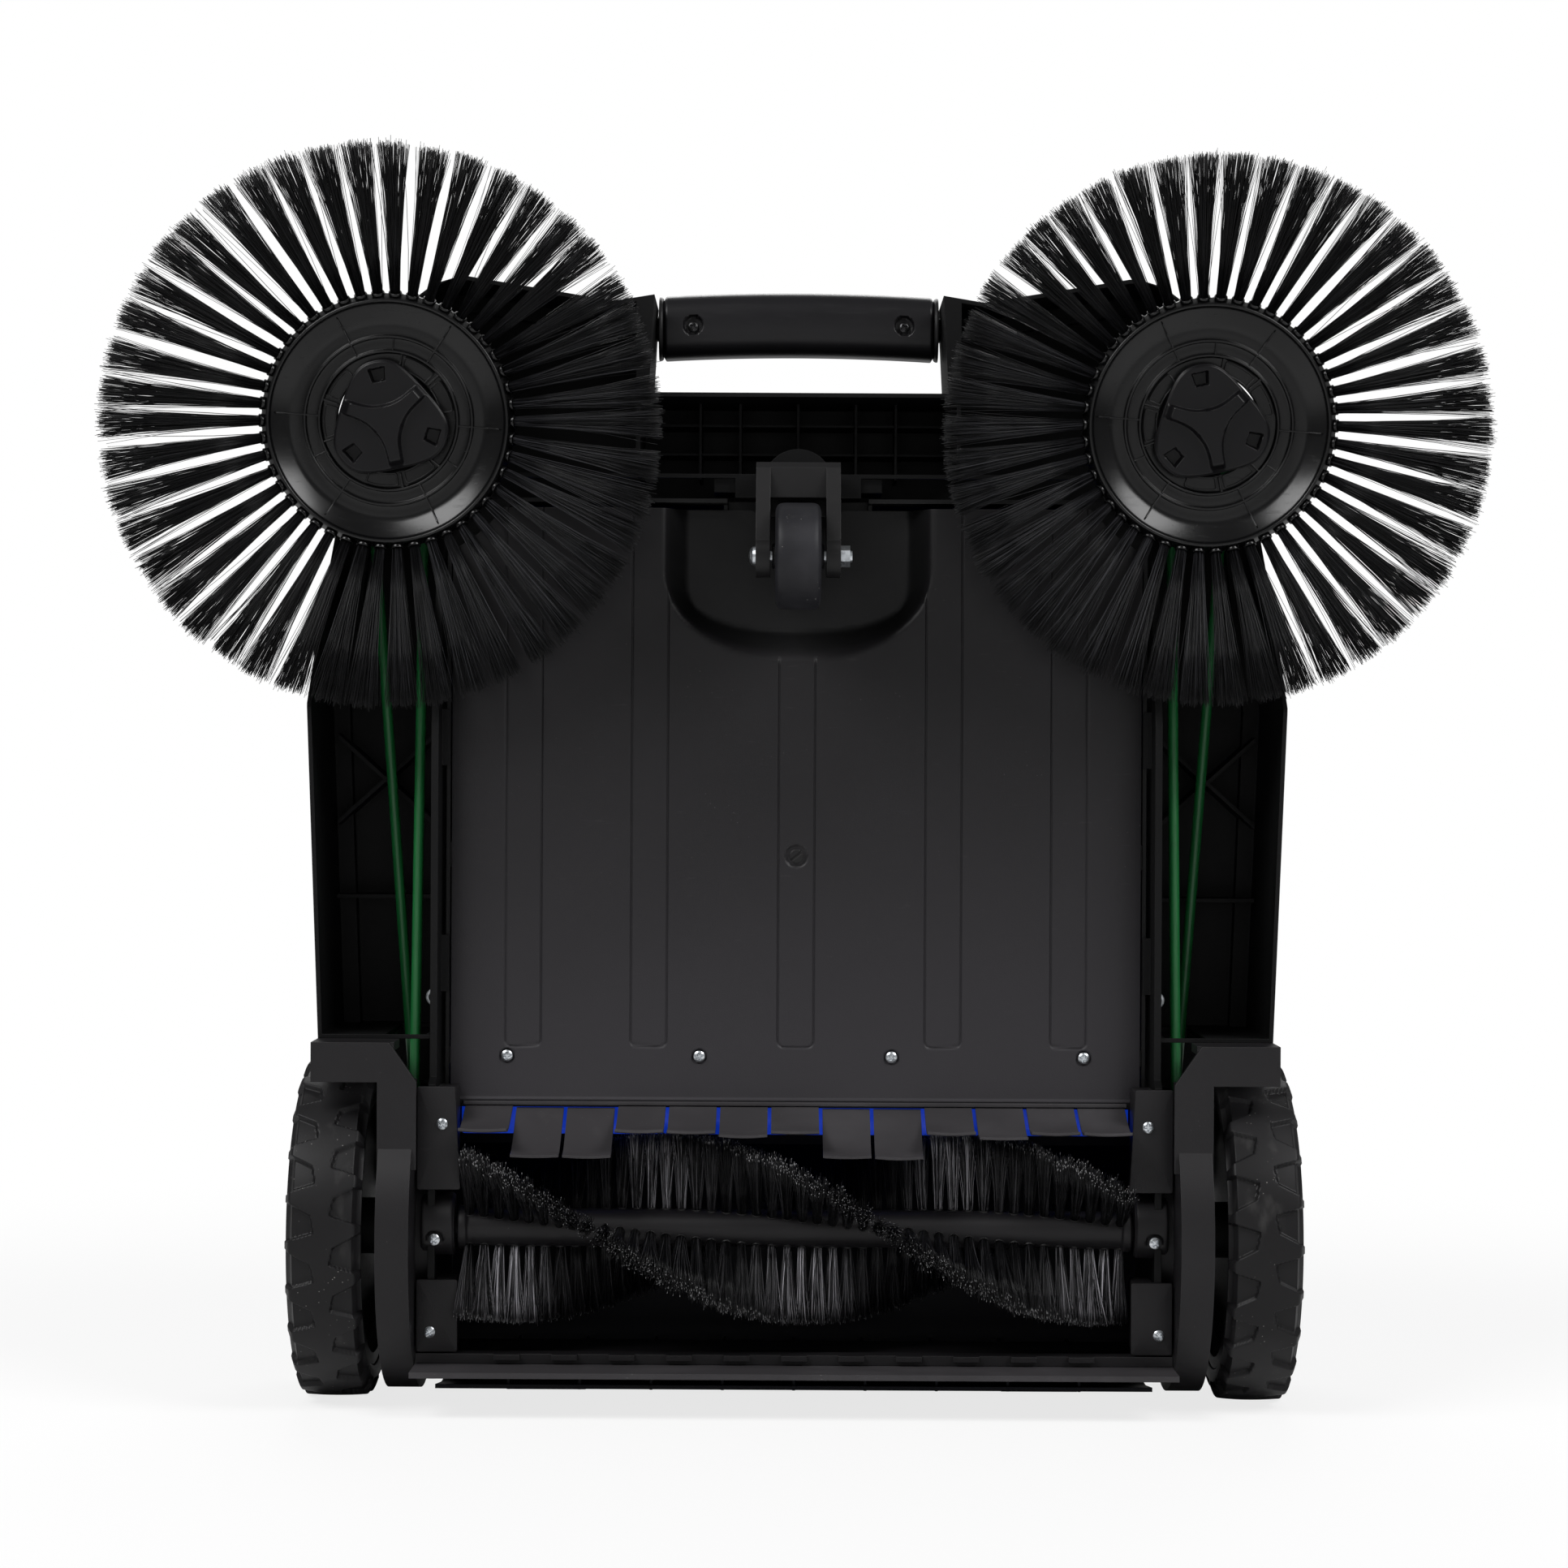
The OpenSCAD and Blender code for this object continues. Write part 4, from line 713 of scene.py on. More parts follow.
@dataclass(frozen=True)
class MouldedPlastic:
    """Moulded plastic: a fine spark-eroded grain, cloudy gloss, dust specks, and pale edges
    that are partly wear and partly painted highlight.
    """

    name: str
    dark: Colour
    light: Colour
    edge: Colour
    gloss: tuple[float, float] = (0.38, 0.5)
    grain_per_m: float = 1500.0
    grain_depth: float = 0.00012
    specular: float = 0.25
    edge_radius: float = 0.0008
    wear: Wear = Wear.USED
    painted_shade: tuple[float, float] | None = None
    floor_reflection: tuple[float, float] | None = None

    def build(self) -> bpy.types.Material:
        """Makes the material.

        A painted reflection of the floor, lighter towards the rear end, fades as
        ((far - Z) / (far - near))^2 between its two places, and as painted shade the colour
        turns from near black at the first painted_shade height to plain at its second.

        Returns:
            The material.
        """
        shader = Shader(self.name)
        dust, scuff, worn = self.wear.value
        cloud = shader.noise(7.0, 4.0)
        grain = shader.noise(self.grain_per_m, 1.0)
        streak = shader.noise(160.0, 3.0, stretch=(0.35, 1.0, 2.5))
        soft, edge = shader.soft_edge(self.edge_radius)
        colour = shader.mix(cloud.step(0.3, 0.75), self.dark, self.light)
        colour = shader.mix(streak.step(0.66, 0.8) * (0.25 * scuff), colour, self.edge)
        # pale edges: partly edge wear, partly a painted highlight along rims and ribs
        colour = shader.mix(edge * (0.55 * worn), colour, self.edge)
        spot = shader.specks(210.0, 0.09) * shader.noise(23.0, 2.0).step(0.52, 0.72)
        colour = shader.mix(spot * (0.55 * dust), colour, SPOT)
        # painted reflection of the pale floor: the colour turns lighter towards the rear end
        if self.floor_reflection is not None:
            near, far = (place * MM for place in self.floor_reflection)
            share = shader.node("ShaderNodeMapRange", {}, {
                "Value": shader.coordinate("Z"), "From Min": far, "From Max": near}) ** 2.0
            colour = shader.mix(share * (cloud * 0.2 + 0.85), colour, FLOOR_REFLECTION)
        # painted shade: the colour turns near black past a height, inside the bin's foot and
        # the castor's recess
        if self.painted_shade is not None:
            black, plain = ((height - HALF_DEPTH) * MM for height in self.painted_shade)
            colour = shader.mix(shader.coordinate("Y").step(black, plain), SHADE_DARK, colour)
        low, high = self.gloss
        rough = cloud * (high - low) + low + streak.step(0.5, 0.8) * 0.06 + spot * 0.25
        normal = shader.bump(grain, 0.6, self.grain_depth, soft)
        shader.dress(Base_Color=colour, Roughness=rough, Normal=normal,
                     Specular_IOR_Level=self.specular)
        return shader.material


@dataclass(frozen=True)
class Rubber:
    """Black rubber with a chalky bloom, dust in patches and a fine moulded skin."""

    name: str
    dark: Colour
    bloom: Colour
    dust: float = 0.5
    roughness: float = 0.55
    edge_radius: float = 0.0

    def build(self) -> bpy.types.Material:
        """Makes the material.

        Returns:
            The material.
        """
        shader = Shader(self.name)
        patch = shader.noise(16.0, 5.0)
        skin = shader.noise(900.0, 2.0)
        smear = shader.noise(60.0, 4.0, stretch=(1.0, 1.0, 0.4))
        colour = shader.mix(patch.step(0.42, 0.72) * 0.8, self.dark, self.bloom)
        colour = shader.mix(smear.step(0.6, 0.78) * (0.35 * self.dust), colour,
                            (0.09, 0.088, 0.086))
        spot = shader.specks(260.0, 0.12) * shader.noise(30.0, 2.0).step(0.5, 0.7)
        colour = shader.mix(spot * self.dust, colour, (0.4, 0.39, 0.37))
        rough = patch * 0.12 + (self.roughness - 0.06)
        normal = shader.soft_edge(self.edge_radius)[0] if self.edge_radius else None
        shader.dress(Base_Color=colour, Roughness=rough,
                     Normal=shader.bump(skin, 0.5, 0.0001, normal), Specular_IOR_Level=0.2)
        return shader.material


@dataclass(frozen=True)
class BeltSkin:
    """Round polyurethane belt: clear green with faint drawn streaks and black rub marks."""

    name: str = "green_polyurethane"
    deep: Colour = (0.004, 0.075, 0.018)
    bright: Colour = (0.008, 0.14, 0.032)

    def build(self) -> bpy.types.Material:
        """Makes the material.

        Returns:
            The material.
        """
        shader = Shader(self.name)
        drawn = shader.noise(500.0, 2.0, stretch=(1.0, 1.0, 0.06))
        rub = shader.noise(35.0, 4.0)
        colour = shader.mix(drawn, self.deep, self.bright)
        colour = shader.mix(rub.step(0.62, 0.8) * 0.5, colour, (0.006, 0.022, 0.01))
        shader.dress(Base_Color=colour, Roughness=drawn * 0.1 + 0.36,
                     Normal=shader.bump(drawn, 0.4, 0.00008), Specular_IOR_Level=0.5)
        return shader.material


@dataclass(frozen=True)
class PaintedGlowPlastic:
    """Blue plastic with a painted glow, in faint clouds, as if lit from behind."""

    name: str = "painted_glow_blue"
    deep: Colour = (0.002, 0.02, 0.3)
    bright: Colour = (0.004, 0.045, 0.55)
    glow: float = 0.55

    def build(self) -> bpy.types.Material:
        """Makes the material.

        Returns:
            The material.
        """
        shader = Shader(self.name)
        colour = shader.mix(shader.noise(40.0, 3.0), self.deep, self.bright)
        # painted glow: the emission stands for light through the bin from behind
        shader.dress(Base_Color=colour, Emission_Color=colour, Emission_Strength=self.glow,
                     Roughness=0.4)
        return shader.material


@dataclass(frozen=True)
class PlatedSteel:
    """Zinc-plated steel: bright, a little cloudy, with fine turning marks."""

    name: str
    base: Colour = (0.62, 0.65, 0.68)
    dull: Colour = (0.34, 0.36, 0.38)
    gloss: tuple[float, float] = (0.2, 0.42)

    def build(self) -> bpy.types.Material:
        """Makes the material.

        Returns:
            The material.
        """
        shader = Shader(self.name)
        cloud = shader.noise(260.0, 3.0)
        fine = shader.noise(2600.0, 1.0)
        low, high = self.gloss
        shader.dress(Base_Color=shader.mix(cloud.step(0.35, 0.8), self.base, self.dull),
                     Roughness=cloud * (high - low) + low, Metallic=1.0,
                     Normal=shader.bump(fine, 0.4, 0.00003))
        return shader.material


@dataclass(frozen=True)
class FibreSkin:
    """Polypropylene fibre: near black, lighter from fibre to fibre, darker near the tip as
    painted shade; some have a pale tip.
    """

    name: str
    dark: Colour = (0.0013, 0.0013, 0.0016)
    light: Colour = (0.03, 0.03, 0.034)
    tip: Colour = (0.012, 0.012, 0.013)
    roughness: float = 0.33

    def build(self) -> bpy.types.Material:
        """Makes the material; a fibre's tip is pale by lot, the fraction of 23 shades.

        Returns:
            The material.
        """
        shader = Shader(self.name)
        shade = shader.node("ShaderNodeAttribute", {"attribute_name": "shade"}, out="Fac")
        reach = shader.node("ShaderNodeAttribute", {"attribute_name": "reach"}, out="Fac")
        # painted shade: the last part of each fibre keeps only a quarter of its lighter tone,
        # for bundle ends seen end-on
        near_root = 1.0 - reach.step(0.86, 0.97) * 0.75
        colour = shader.mix(shade ** 4.0 * near_root, self.dark, self.light)
        lot = shader.node("ShaderNodeMath", {"operation": "FRACT"}, {0: shade * 23.0})
        pale = reach.step(0.955, 1.0) * lot.step(0.74, 0.86)
        colour = shader.mix(pale, colour, self.tip)
        shader.dress(Base_Color=colour, Roughness=shade * 0.14 + self.roughness,
                     Specular_IOR_Level=0.22)
        return shader.material


@dataclass(frozen=True)
class PowderCoat:
    """Powder-coated steel tube: black with a fine orange-peel skin and pale edges, partly wear
    and partly painted highlight.
    """

    name: str = "black_powder_coat"

    def build(self) -> bpy.types.Material:
        """Makes the material.

        Returns:
            The material.
        """
        shader = Shader(self.name)
        peel = shader.noise(420.0, 2.0)
        cloud = shader.noise(11.0, 3.0)
        soft, edge = shader.soft_edge(0.0006)
        colour = shader.mix(cloud, (0.012, 0.012, 0.013), (0.024, 0.024, 0.025))
        # pale edges: partly edge wear, partly painted highlight
        colour = shader.mix(edge * 0.3, colour, (0.09, 0.09, 0.09))
        shader.dress(Base_Color=colour, Roughness=peel * 0.12 + 0.3,
                     Normal=shader.bump(peel, 0.5, 0.0002, soft), Specular_IOR_Level=0.5)
        return shader.material


@dataclass(frozen=True)
class FoamSkin:
    """Closed-cell foam sleeve: matt with small open cells and worn smooth patches."""

    name: str = "black_foam"

    def build(self) -> bpy.types.Material:
        """Makes the material.

        Returns:
            The material.
        """
        shader = Shader(self.name)
        cells = shader.node("ShaderNodeTexVoronoi", {"feature": "F1"},
                            {"Vector": shader.place(), "Scale": 900.0}, "Distance")
        worn = shader.noise(18.0, 4.0)
        colour = shader.mix(cells.step(0.1, 0.6), (0.006, 0.006, 0.006),
                            (0.03, 0.03, 0.031))
        colour = shader.mix(worn.step(0.5, 0.8) * 0.4, colour, (0.05, 0.05, 0.05))
        shader.dress(Base_Color=colour, Roughness=worn * 0.1 + 0.78,
                     Normal=shader.bump(cells, 0.9, 0.0005), Specular_IOR_Level=0.25)
        return shader.material


class Finish(Enum):
    """The finishes of the sweeper's pieces, by the slot that the record gives them."""

    BLACK = "black_plastic"
    GRIP = "satin_grip_plastic"
    BLUE = "blue_plastic"
    FLAP = "black_rubber"
    TYRE = "tyre_rubber"
    CASTOR = "castor_rubber"
    BRISTLE = "bristle"
    BELT = "green_belt"
    ZINC = "zinc_steel"
    TUBE = "bar_paint"
    FOAM = "foam"


BLACK_DARK: Colour = (0.0048, 0.0046, 0.005)
BLACK_LIGHT: Colour = (0.0078, 0.0075, 0.008)
# pale edge colour: partly edge wear, partly painted highlight
BLACK_EDGE_WEAR_AND_HIGHLIGHT: Colour = (0.06, 0.058, 0.058)

RECIPES: dict[Finish, Any] = {
    Finish.BLACK: MouldedPlastic("black_moulded", BLACK_DARK, BLACK_LIGHT, BLACK_EDGE_WEAR_AND_HIGHLIGHT),
    Finish.GRIP: MouldedPlastic("satin_grip", (0.0055, 0.0053, 0.006), (0.0078, 0.0075, 0.009),
                                BLACK_EDGE_WEAR_AND_HIGHLIGHT, gloss=(0.3, 0.38), grain_depth=0.00005,
                                wear=Wear.CLEAN),
    # the bin's blue turns near black below 120 mm as painted shade
    Finish.BLUE: MouldedPlastic("blue_moulded", (0.006, 0.02, 0.2), (0.01, 0.035, 0.3),
                                (0.05, 0.1, 0.5), wear=Wear.CLEAN, painted_shade=(120.0, 120.5)),
    Finish.FLAP: Rubber("flap_rubber", (0.034, 0.032, 0.0345), (0.048, 0.0455, 0.049),
                        dust=0.3, roughness=0.5, edge_radius=0.0005),
    Finish.TYRE: Rubber("tyre_rubber", (0.0065, 0.0062, 0.0068), (0.013, 0.0125, 0.0135),
                        dust=0.7, roughness=0.46),
    Finish.CASTOR: Rubber("castor_rubber", (0.009, 0.009, 0.011), (0.026, 0.026, 0.03),
                          dust=1.0, roughness=0.5),
    Finish.BRISTLE: FibreSkin("black_fibre"),
    Finish.BELT: BeltSkin(),
    Finish.ZINC: PlatedSteel("zinc_plate"),
    Finish.TUBE: PowderCoat(),
    Finish.FOAM: FoamSkin(),
}


class Black(Enum):
    """Black plastics at other tones than the common one, each with the CAD nodes that show it.
    """

    # painted shade: a darker copy of the black plastic for parts that sit deep in the
    # underside's bays
    DEEP = (MouldedPlastic("shaded_black", SHADE_DARK, SHADE_LIGHT, (0.016, 0.016, 0.016),
                           gloss=(0.42, 0.56), specular=0.15, wear=Wear.CLEAN),
            ("side_fairing_left", "side_fairing_right", "centre_frame", "front_frame",
             "castor_mount", "brush_bearings", "wheel_pulley_left", "wheel_pulley_right",
             "brush_pulley_left", "brush_pulley_right", "wheel_gear", "roller_pinion"))
    # painted shade: the blue rear hood made near black inside the roller's chamber
    HOOD = (MouldedPlastic("shaded_hood_black", (0.0014, 0.0016, 0.0034), (0.0022, 0.0025, 0.006),
                           (0.012, 0.012, 0.016), gloss=(0.4, 0.5), specular=0.12,
                           wear=Wear.CLEAN),
            ("rear_hood",))
    GREY = (MouldedPlastic("grey_black", (0.0068, 0.0062, 0.0071), (0.0105, 0.0098, 0.011),
                           BLACK_EDGE_WEAR_AND_HIGHLIGHT, gloss=(0.4, 0.5)),
            ("wheel_guard_left", "wheel_guard_right", "rear_seal_holder",
             "roller_side_plates", "roller_bearing_caps"))
    # painted shade in the castor's recess, and a painted floor reflection towards the rear end
    PANEL = (MouldedPlastic("panel_black", (0.004, 0.0037, 0.0043), (0.0062, 0.0057, 0.0066),
                            BLACK_EDGE_WEAR_AND_HIGHLIGHT, gloss=(0.4, 0.5), painted_shade=(92.0, 88.0),
                            floor_reflection=(215.0, 560.0)),
             ("hopper_floor",))
    # the hub's bright edge colour is a painted highlight along its ribs and rims
    HUB = (MouldedPlastic("hub_black", (0.0014, 0.0014, 0.0016), (0.0028, 0.0028, 0.003),
                          (0.12, 0.118, 0.12), gloss=(0.2, 0.27), grain_depth=0.00003,
                          specular=0.3, wear=Wear.CLEAN), ())
    COVER = (MouldedPlastic("cover_black", (0.0022, 0.0021, 0.0026), (0.0038, 0.0036, 0.0042),
                            BLACK_EDGE_WEAR_AND_HIGHLIGHT, gloss=(0.28, 0.38), grain_depth=0.00005,
                            specular=0.2, wear=Wear.CLEAN), ())


# ------------------------------------------------------------------ making pieces


def add_object(name: str, data: bpy.types.ID) -> bpy.types.Object:
    """Makes an object and links it to the scene.

    Args:
        name: The object's name.
        data: Its mesh, camera or lamp data.

    Returns:
        The linked object.
    """
    thing = bpy.data.objects.new(name, data)
    bpy.context.scene.collection.objects.link(thing)
    return thing


class Workshop:
    """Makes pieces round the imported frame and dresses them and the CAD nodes."""

    def __init__(self, frame: dict[str, Any]) -> None:
        """Builds the finishes and dresses every CAD node in its slot's finish.
        """
        self.materials = {finish: recipe.build() for finish, recipe in RECIPES.items()}
        self.blacks = {black: black.value[0].build() for black in Black}
        shade_of = {name: self.blacks[black] for black in Black for name in black.value[1]}
        for row in frame["record"]["subparts"]:
            node = frame["nodes"][row["node"]]
            node.data.materials.clear()
            common = self.materials[Finish(row["material_slot"])]
            node.data.materials.append(shade_of.get(row["node"], common))

    def piece(self, name: str, shell: Shell, finish: Finish, body: str,
              replaces: Sequence[str] = (), shells_turn: bool = True,
              material: bpy.types.Material | None = None,
              sharp: float | None = 40.0) -> bpy.types.Object:
        """Makes one object from a surface.

        Args:
            name: Name of the piece.
            shell: Its points, in machine millimetres, and faces.
            finish: The finish and record slot.
            body: The CAD body that it rides on.
            replaces: CAD nodes that it stands for.
            shells_turn: Whether doubled points are merged and faces turned outwards.
            material: A material of its own in place of the finish's.
            sharp: Angle in degrees past which an edge stays sharp, or None for all smooth.

        Returns:
            The finished object.
        """
        mesh = bpy.data.meshes.new(name)
        points = to_frame(shell.points).astype(np.float32)
        mesh.vertices.add(len(points))
        mesh.vertices.foreach_set("co", points.ravel())
        loops = np.concatenate([shell.quads.ravel(), shell.triangles.ravel()])
        starts = np.concatenate([
            np.arange(len(shell.quads)) * 4,
            len(shell.quads) * 4 + np.arange(len(shell.triangles)) * 3,
        ])
        mesh.loops.add(len(loops))
        mesh.loops.foreach_set("vertex_index", loops.astype(np.int32))
        mesh.polygons.add(len(starts))
        mesh.polygons.foreach_set("loop_start", starts.astype(np.int32))
        for key, numbers in shell.numbers.items():
            layer = mesh.attributes.new(key, "FLOAT", "POINT")
            layer.data.foreach_set("value", numbers.astype(np.float32))
        mesh.update(calc_edges=True)
        mesh.validate()
        if shells_turn:
            self.tidy_mesh(mesh)
        mesh.polygons.foreach_set("use_smooth", np.ones(len(mesh.polygons), bool))
        if sharp is not None:
            mesh.set_sharp_from_angle(angle=math.radians(sharp))
        thing = add_object(name, mesh)
        mesh.materials.append(material or self.materials[finish])
        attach(thing, body)
        if replaces:
            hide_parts(*replaces)
        LOG.info("%s: %d points, %d faces on %s", name, len(points), len(starts), body)
        return thing

    @staticmethod
    def tidy_mesh(mesh: bpy.types.Mesh) -> None:
        """Merges doubled points and turns the faces of closed shells outwards.

        Args:
            mesh: The mesh, which is changed in place.
        """
        made = bmesh.new()
        made.from_mesh(mesh)
        bmesh.ops.remove_doubles(made, verts=made.verts, dist=2e-6)
        bmesh.ops.recalc_face_normals(made, faces=made.faces)
        made.to_mesh(mesh)
        made.free()


# ------------------------------------------------------------------ side brushes


@dataclass
class SideBrush:
    """A disc side brush: ribbed dish, three-armed cap and a ring of flared tufts."""

    side: int
    tufts: int = 46
    fibres_per_tuft: int = 205
    root_r: float = 83.0
    tip_r: float = 194.5
    drop: float = 49.0
    sag: float = 3.5
    tuft_r: float = 3.3
    fibre_r: float = 0.26
    flare: float = 11.0
    clumps: int = 9
    clump_pull: tuple[float, float] = (1.6, 1.0)
    lean_scatter: float = 0.01
    drop_scatter: float = 1.2
    short_above: float = 0.93
    stray_above: float = 0.965
    inwards: tuple[float, float, float] = (-0.85, 0.0, -0.53)
    first_arm: float = math.radians(-42)

    def axis(self) -> Axis:
        """The tilted spinning axis; its third direction points into the machine.

        Returns:
            The axis, with its middle at the brush's place.
        """
        cos, sin = math.cos(BRUSH_TILT), math.sin(BRUSH_TILT)
        x, height, z = BRUSH_AT
        return Axis((self.side * x, height, z), (1, 0, 0), (0, sin, -cos), (0, cos, sin))

    def bristles(self) -> Shell:
        """Tufts of straight fibres that start round and fan out towards their tips.

        A fibre starts at a point of a disc across its tuft, and its tip is the same point
        spread by the flare, pulled towards one of the tuft's clumps, with scatter. As a painted
        sheen, tufts that point towards the hopper have paler fibres and the others darker ones.

        Returns:
            All the brush's fibres.
        """
        rng = np.random.default_rng(11 + self.side)
        count = self.tufts * self.fibres_per_tuft
        tuft = np.repeat(np.arange(self.tufts), self.fibres_per_tuft)
        disc = np.sqrt(rng.random(count))
        around = rng.random(count) * FULL_TURN
        u, v = disc * np.cos(around), disc * np.sin(around)
        lean = rng.normal(0, self.lean_scatter, self.tufts)[tuft]
        tuft_drop = rng.normal(0, self.drop_scatter, self.tufts)[tuft]
        clumps = self.tufts * self.clumps
        clump = rng.integers(0, self.clumps, count) + tuft * self.clumps
        pull_u, pull_v = (rng.normal(0, pull, clumps)[clump] for pull in self.clump_pull)
        short = (rng.random(count) > self.short_above) * rng.random(count)
        length = 1 + rng.normal(0, 0.012, count) - 0.10 * short
        length -= np.abs(rng.normal(0, 0.022, clumps))[clump]
        stray = (rng.random(count) > self.stray_above) * rng.normal(0, 5.0, count)
        reach = self.tip_r - self.root_r
        angle = tuft * FULL_TURN / self.tufts
        root = np.stack([
            self.root_r + 3 + v * 0.6, u * self.tuft_r, v * self.tuft_r], -1)
        tip = np.stack([
            self.root_r + reach * length,
            u * self.flare + pull_u + stray + rng.normal(0, 0.9, count) + lean * reach,
            -self.drop * length + v * self.flare * 0.4 + pull_v + tuft_drop
            + rng.normal(0, 0.8, count),
        ], -1)
        bend = np.stack([
            np.zeros(count), rng.normal(0, 0.7, count) - u * 1.6,
            rng.normal(0, 0.7, count) - v * 1.2], -1)
        cos, sin = np.cos(angle)[:, None], np.sin(angle)[:, None]

        def swing(p: np.ndarray) -> np.ndarray:
            """Turns points from the first tuft's place to their own tuft's."""
            return np.concatenate([p[:, :1] * cos - p[:, 1:2] * sin,
                                   p[:, :1] * sin + p[:, 1:2] * cos, p[:, 2:]], 1)

        local = [swing(root), swing(tip), swing(bend)]
        axis = self.axis()
        base = np.array(axis.centre)
        fallen = np.array([0.0, 0.0, -self.sag])
        root, tip = axis.place(local[0]), axis.place(local[1]) + fallen
        inwards = unit(tip - root) @ (np.array(self.inwards) * [self.side, 1, 1])
        # painted sheen: fibres of tufts that point towards the hopper are paler, the others
        # darker
        painted_sheen = 0.76 + 0.38 * smoothstep(0.1, 0.95, inwards)
        return Fibres().grow(
            root, tip, axis.place(local[2]) - base,
            np.full(count, self.fibre_r) * (0.85 + 0.3 * rng.random(count)),
            rng.random(count) * FULL_TURN, rng.random(count) * painted_sheen)

    def dish(self) -> Shell:
        """The ribbed dish: one turned profile with a lip that bulges at each tuft.

        Returns:
            The dish as a closed solid.
        """
        profile = rounded(
            [[36, 5.2], [47.6, 5.2], [47.9, 0.6], [49.5, 0.6], [49.8, 4.2], [57.9, 4.0],
             [58.2, 0.8], [59.8, 0.8], [60.1, 4.0], [69.5, 4.0], [82.2, -4.2], [83.2, -6.4],
             [84.9, -6.4], [86.2, -4.2], [90.2, 1.6], [90.4, 5.5], [86, 8], [70, 8.4],
             [36, 8.4]],
            [0.4, 1.0, 0.5, 0.5, 1.0, 1.0, 0.5, 0.5, 0.8, 3.0, 1.2, 0.7, 0.7, 0.8, 1.0, 1.5,
             1.5, 1, 0.4], 3)
        outer = smoothstep(86.0, 90.0, profile[:, 0])

        def bulge(angle: np.ndarray, row: np.ndarray) -> np.ndarray:
            """Adds 1.1 mm at a tuft and takes 1.1 mm away between two, on the lip."""
            return 1.1 * np.cos(self.tufts * angle) * outer[row]

        return turned(self.axis(), profile, self.tufts * 8, True, bulge)

    def sockets(self) -> Shell:
        """A short collar round the foot of each tuft.

        Returns:
            The collars of all the tufts.
        """
        lean = math.atan2(self.drop, self.tip_r - self.root_r)
        ring = rounded([[3.7, 0], [4.7, 0], [4.7, 2.2], [3.7, 2.2]], 0.35, 2)
        collars = []
        axis = self.axis()
        frame = np.array([axis.zero, axis.quarter, axis.along])
        for angle in np.arange(self.tufts) * FULL_TURN / self.tufts:
            cos, sin = math.cos(angle), math.sin(angle)
            out = np.array([cos * math.cos(lean), sin * math.cos(lean), -math.sin(lean)])
            side = np.array([-sin, cos, 0.0])
            centre = np.array([cos * 88.2, sin * 88.2, -1.0])
            collars.append(turned(
                Axis(tuple(axis.place(centre[None])[0]), tuple(side @ frame),
                     tuple(np.cross(out, side) @ frame), tuple(out @ frame)), ring, 14))
        return join_all(collars)

    def ribs(self) -> Shell:
        """Six long and three short radial ribs on the dish, and six in the well.

        Returns:
            All the ribs.
        """
        axis = self.axis()
        made = []

        def add(angle: float, r0: float, r1: float, foot0: float, foot1: float,
                height: float, width: float) -> None:
            """Adds one radial rib between two radii.

            Args:
                angle: Direction of the rib from the axis.
                r0: Radius of its inner end.
                r1: Radius of its outer end.
                foot0: Place of its inner foot along the axis.
                foot1: Place of its outer foot along the axis.
                height: How far it stands up from its foot.
                width: How wide it is.
            """
            d = np.array([math.cos(angle), math.sin(angle)])
            ends = axis.place(np.array([[*(d * r0), foot0], [*(d * r1), foot1]]))
            made.append(bar(ends[0], ends[1], tuple(-np.array(axis.along)), width, height))

        turn = self.first_arm - math.radians(14)
        for k in range(6):
            angle = turn + k * math.pi / 3
            add(angle, 49.2, 70.0, 4.6, 4.6, 4.0, 1.3)
            add(angle, 68.5, 78.5, 4.0, -1.6, 2.4, 1.3)
        for k in range(3):
            add(turn + math.radians(-30) + k * FULL_TURN / 3, 49.2, 58.6, 4.6, 4.6, 3.2, 1.2)
            arm = self.first_arm + k * FULL_TURN / 3
            add(arm, 37.0, 48.4, 5.6, 5.6, 4.2, 2.0)
            add(arm + math.radians(84), 37.0, 48.4, 5.6, 5.6, 4.2, 1.5)
        return join_all(made)

    def windows(self) -> Shell:
        """Raised frames of the six openings in the well round the cap.

        Returns:
            The six frames.
        """
        axis = self.axis()
        made = []
        section = rounded([[-0.6, 0], [0.6, 0], [0.5, 3.0], [-0.5, 3.0]], 0.25, 2)
        for k in range(3):
            arm = self.first_arm + k * FULL_TURN / 3
            for low, high in ((4, 33), (-33, -4)):
                a0, a1 = arm + math.radians(low), arm + math.radians(high)
                t = np.linspace(a0, a1, 9)
                outer = np.stack([45.6 * np.cos(t), 45.6 * np.sin(t)], -1)
                inner = np.stack([37.0 * np.cos(t[::-1]), 37.0 * np.sin(t[::-1])], -1)
                path = rounded(np.concatenate([outer, inner]), 1.4, 3)
                flat = path[:, None] + side_normals(path)[:, None] * section[None, :, :1]
                place = np.broadcast_to(5.4 - section[None, :, 1:], (*flat.shape[:2], 1))
                made.append(woven(np.concatenate([flat, place], -1), True, True, axis))
        return join_all(made)

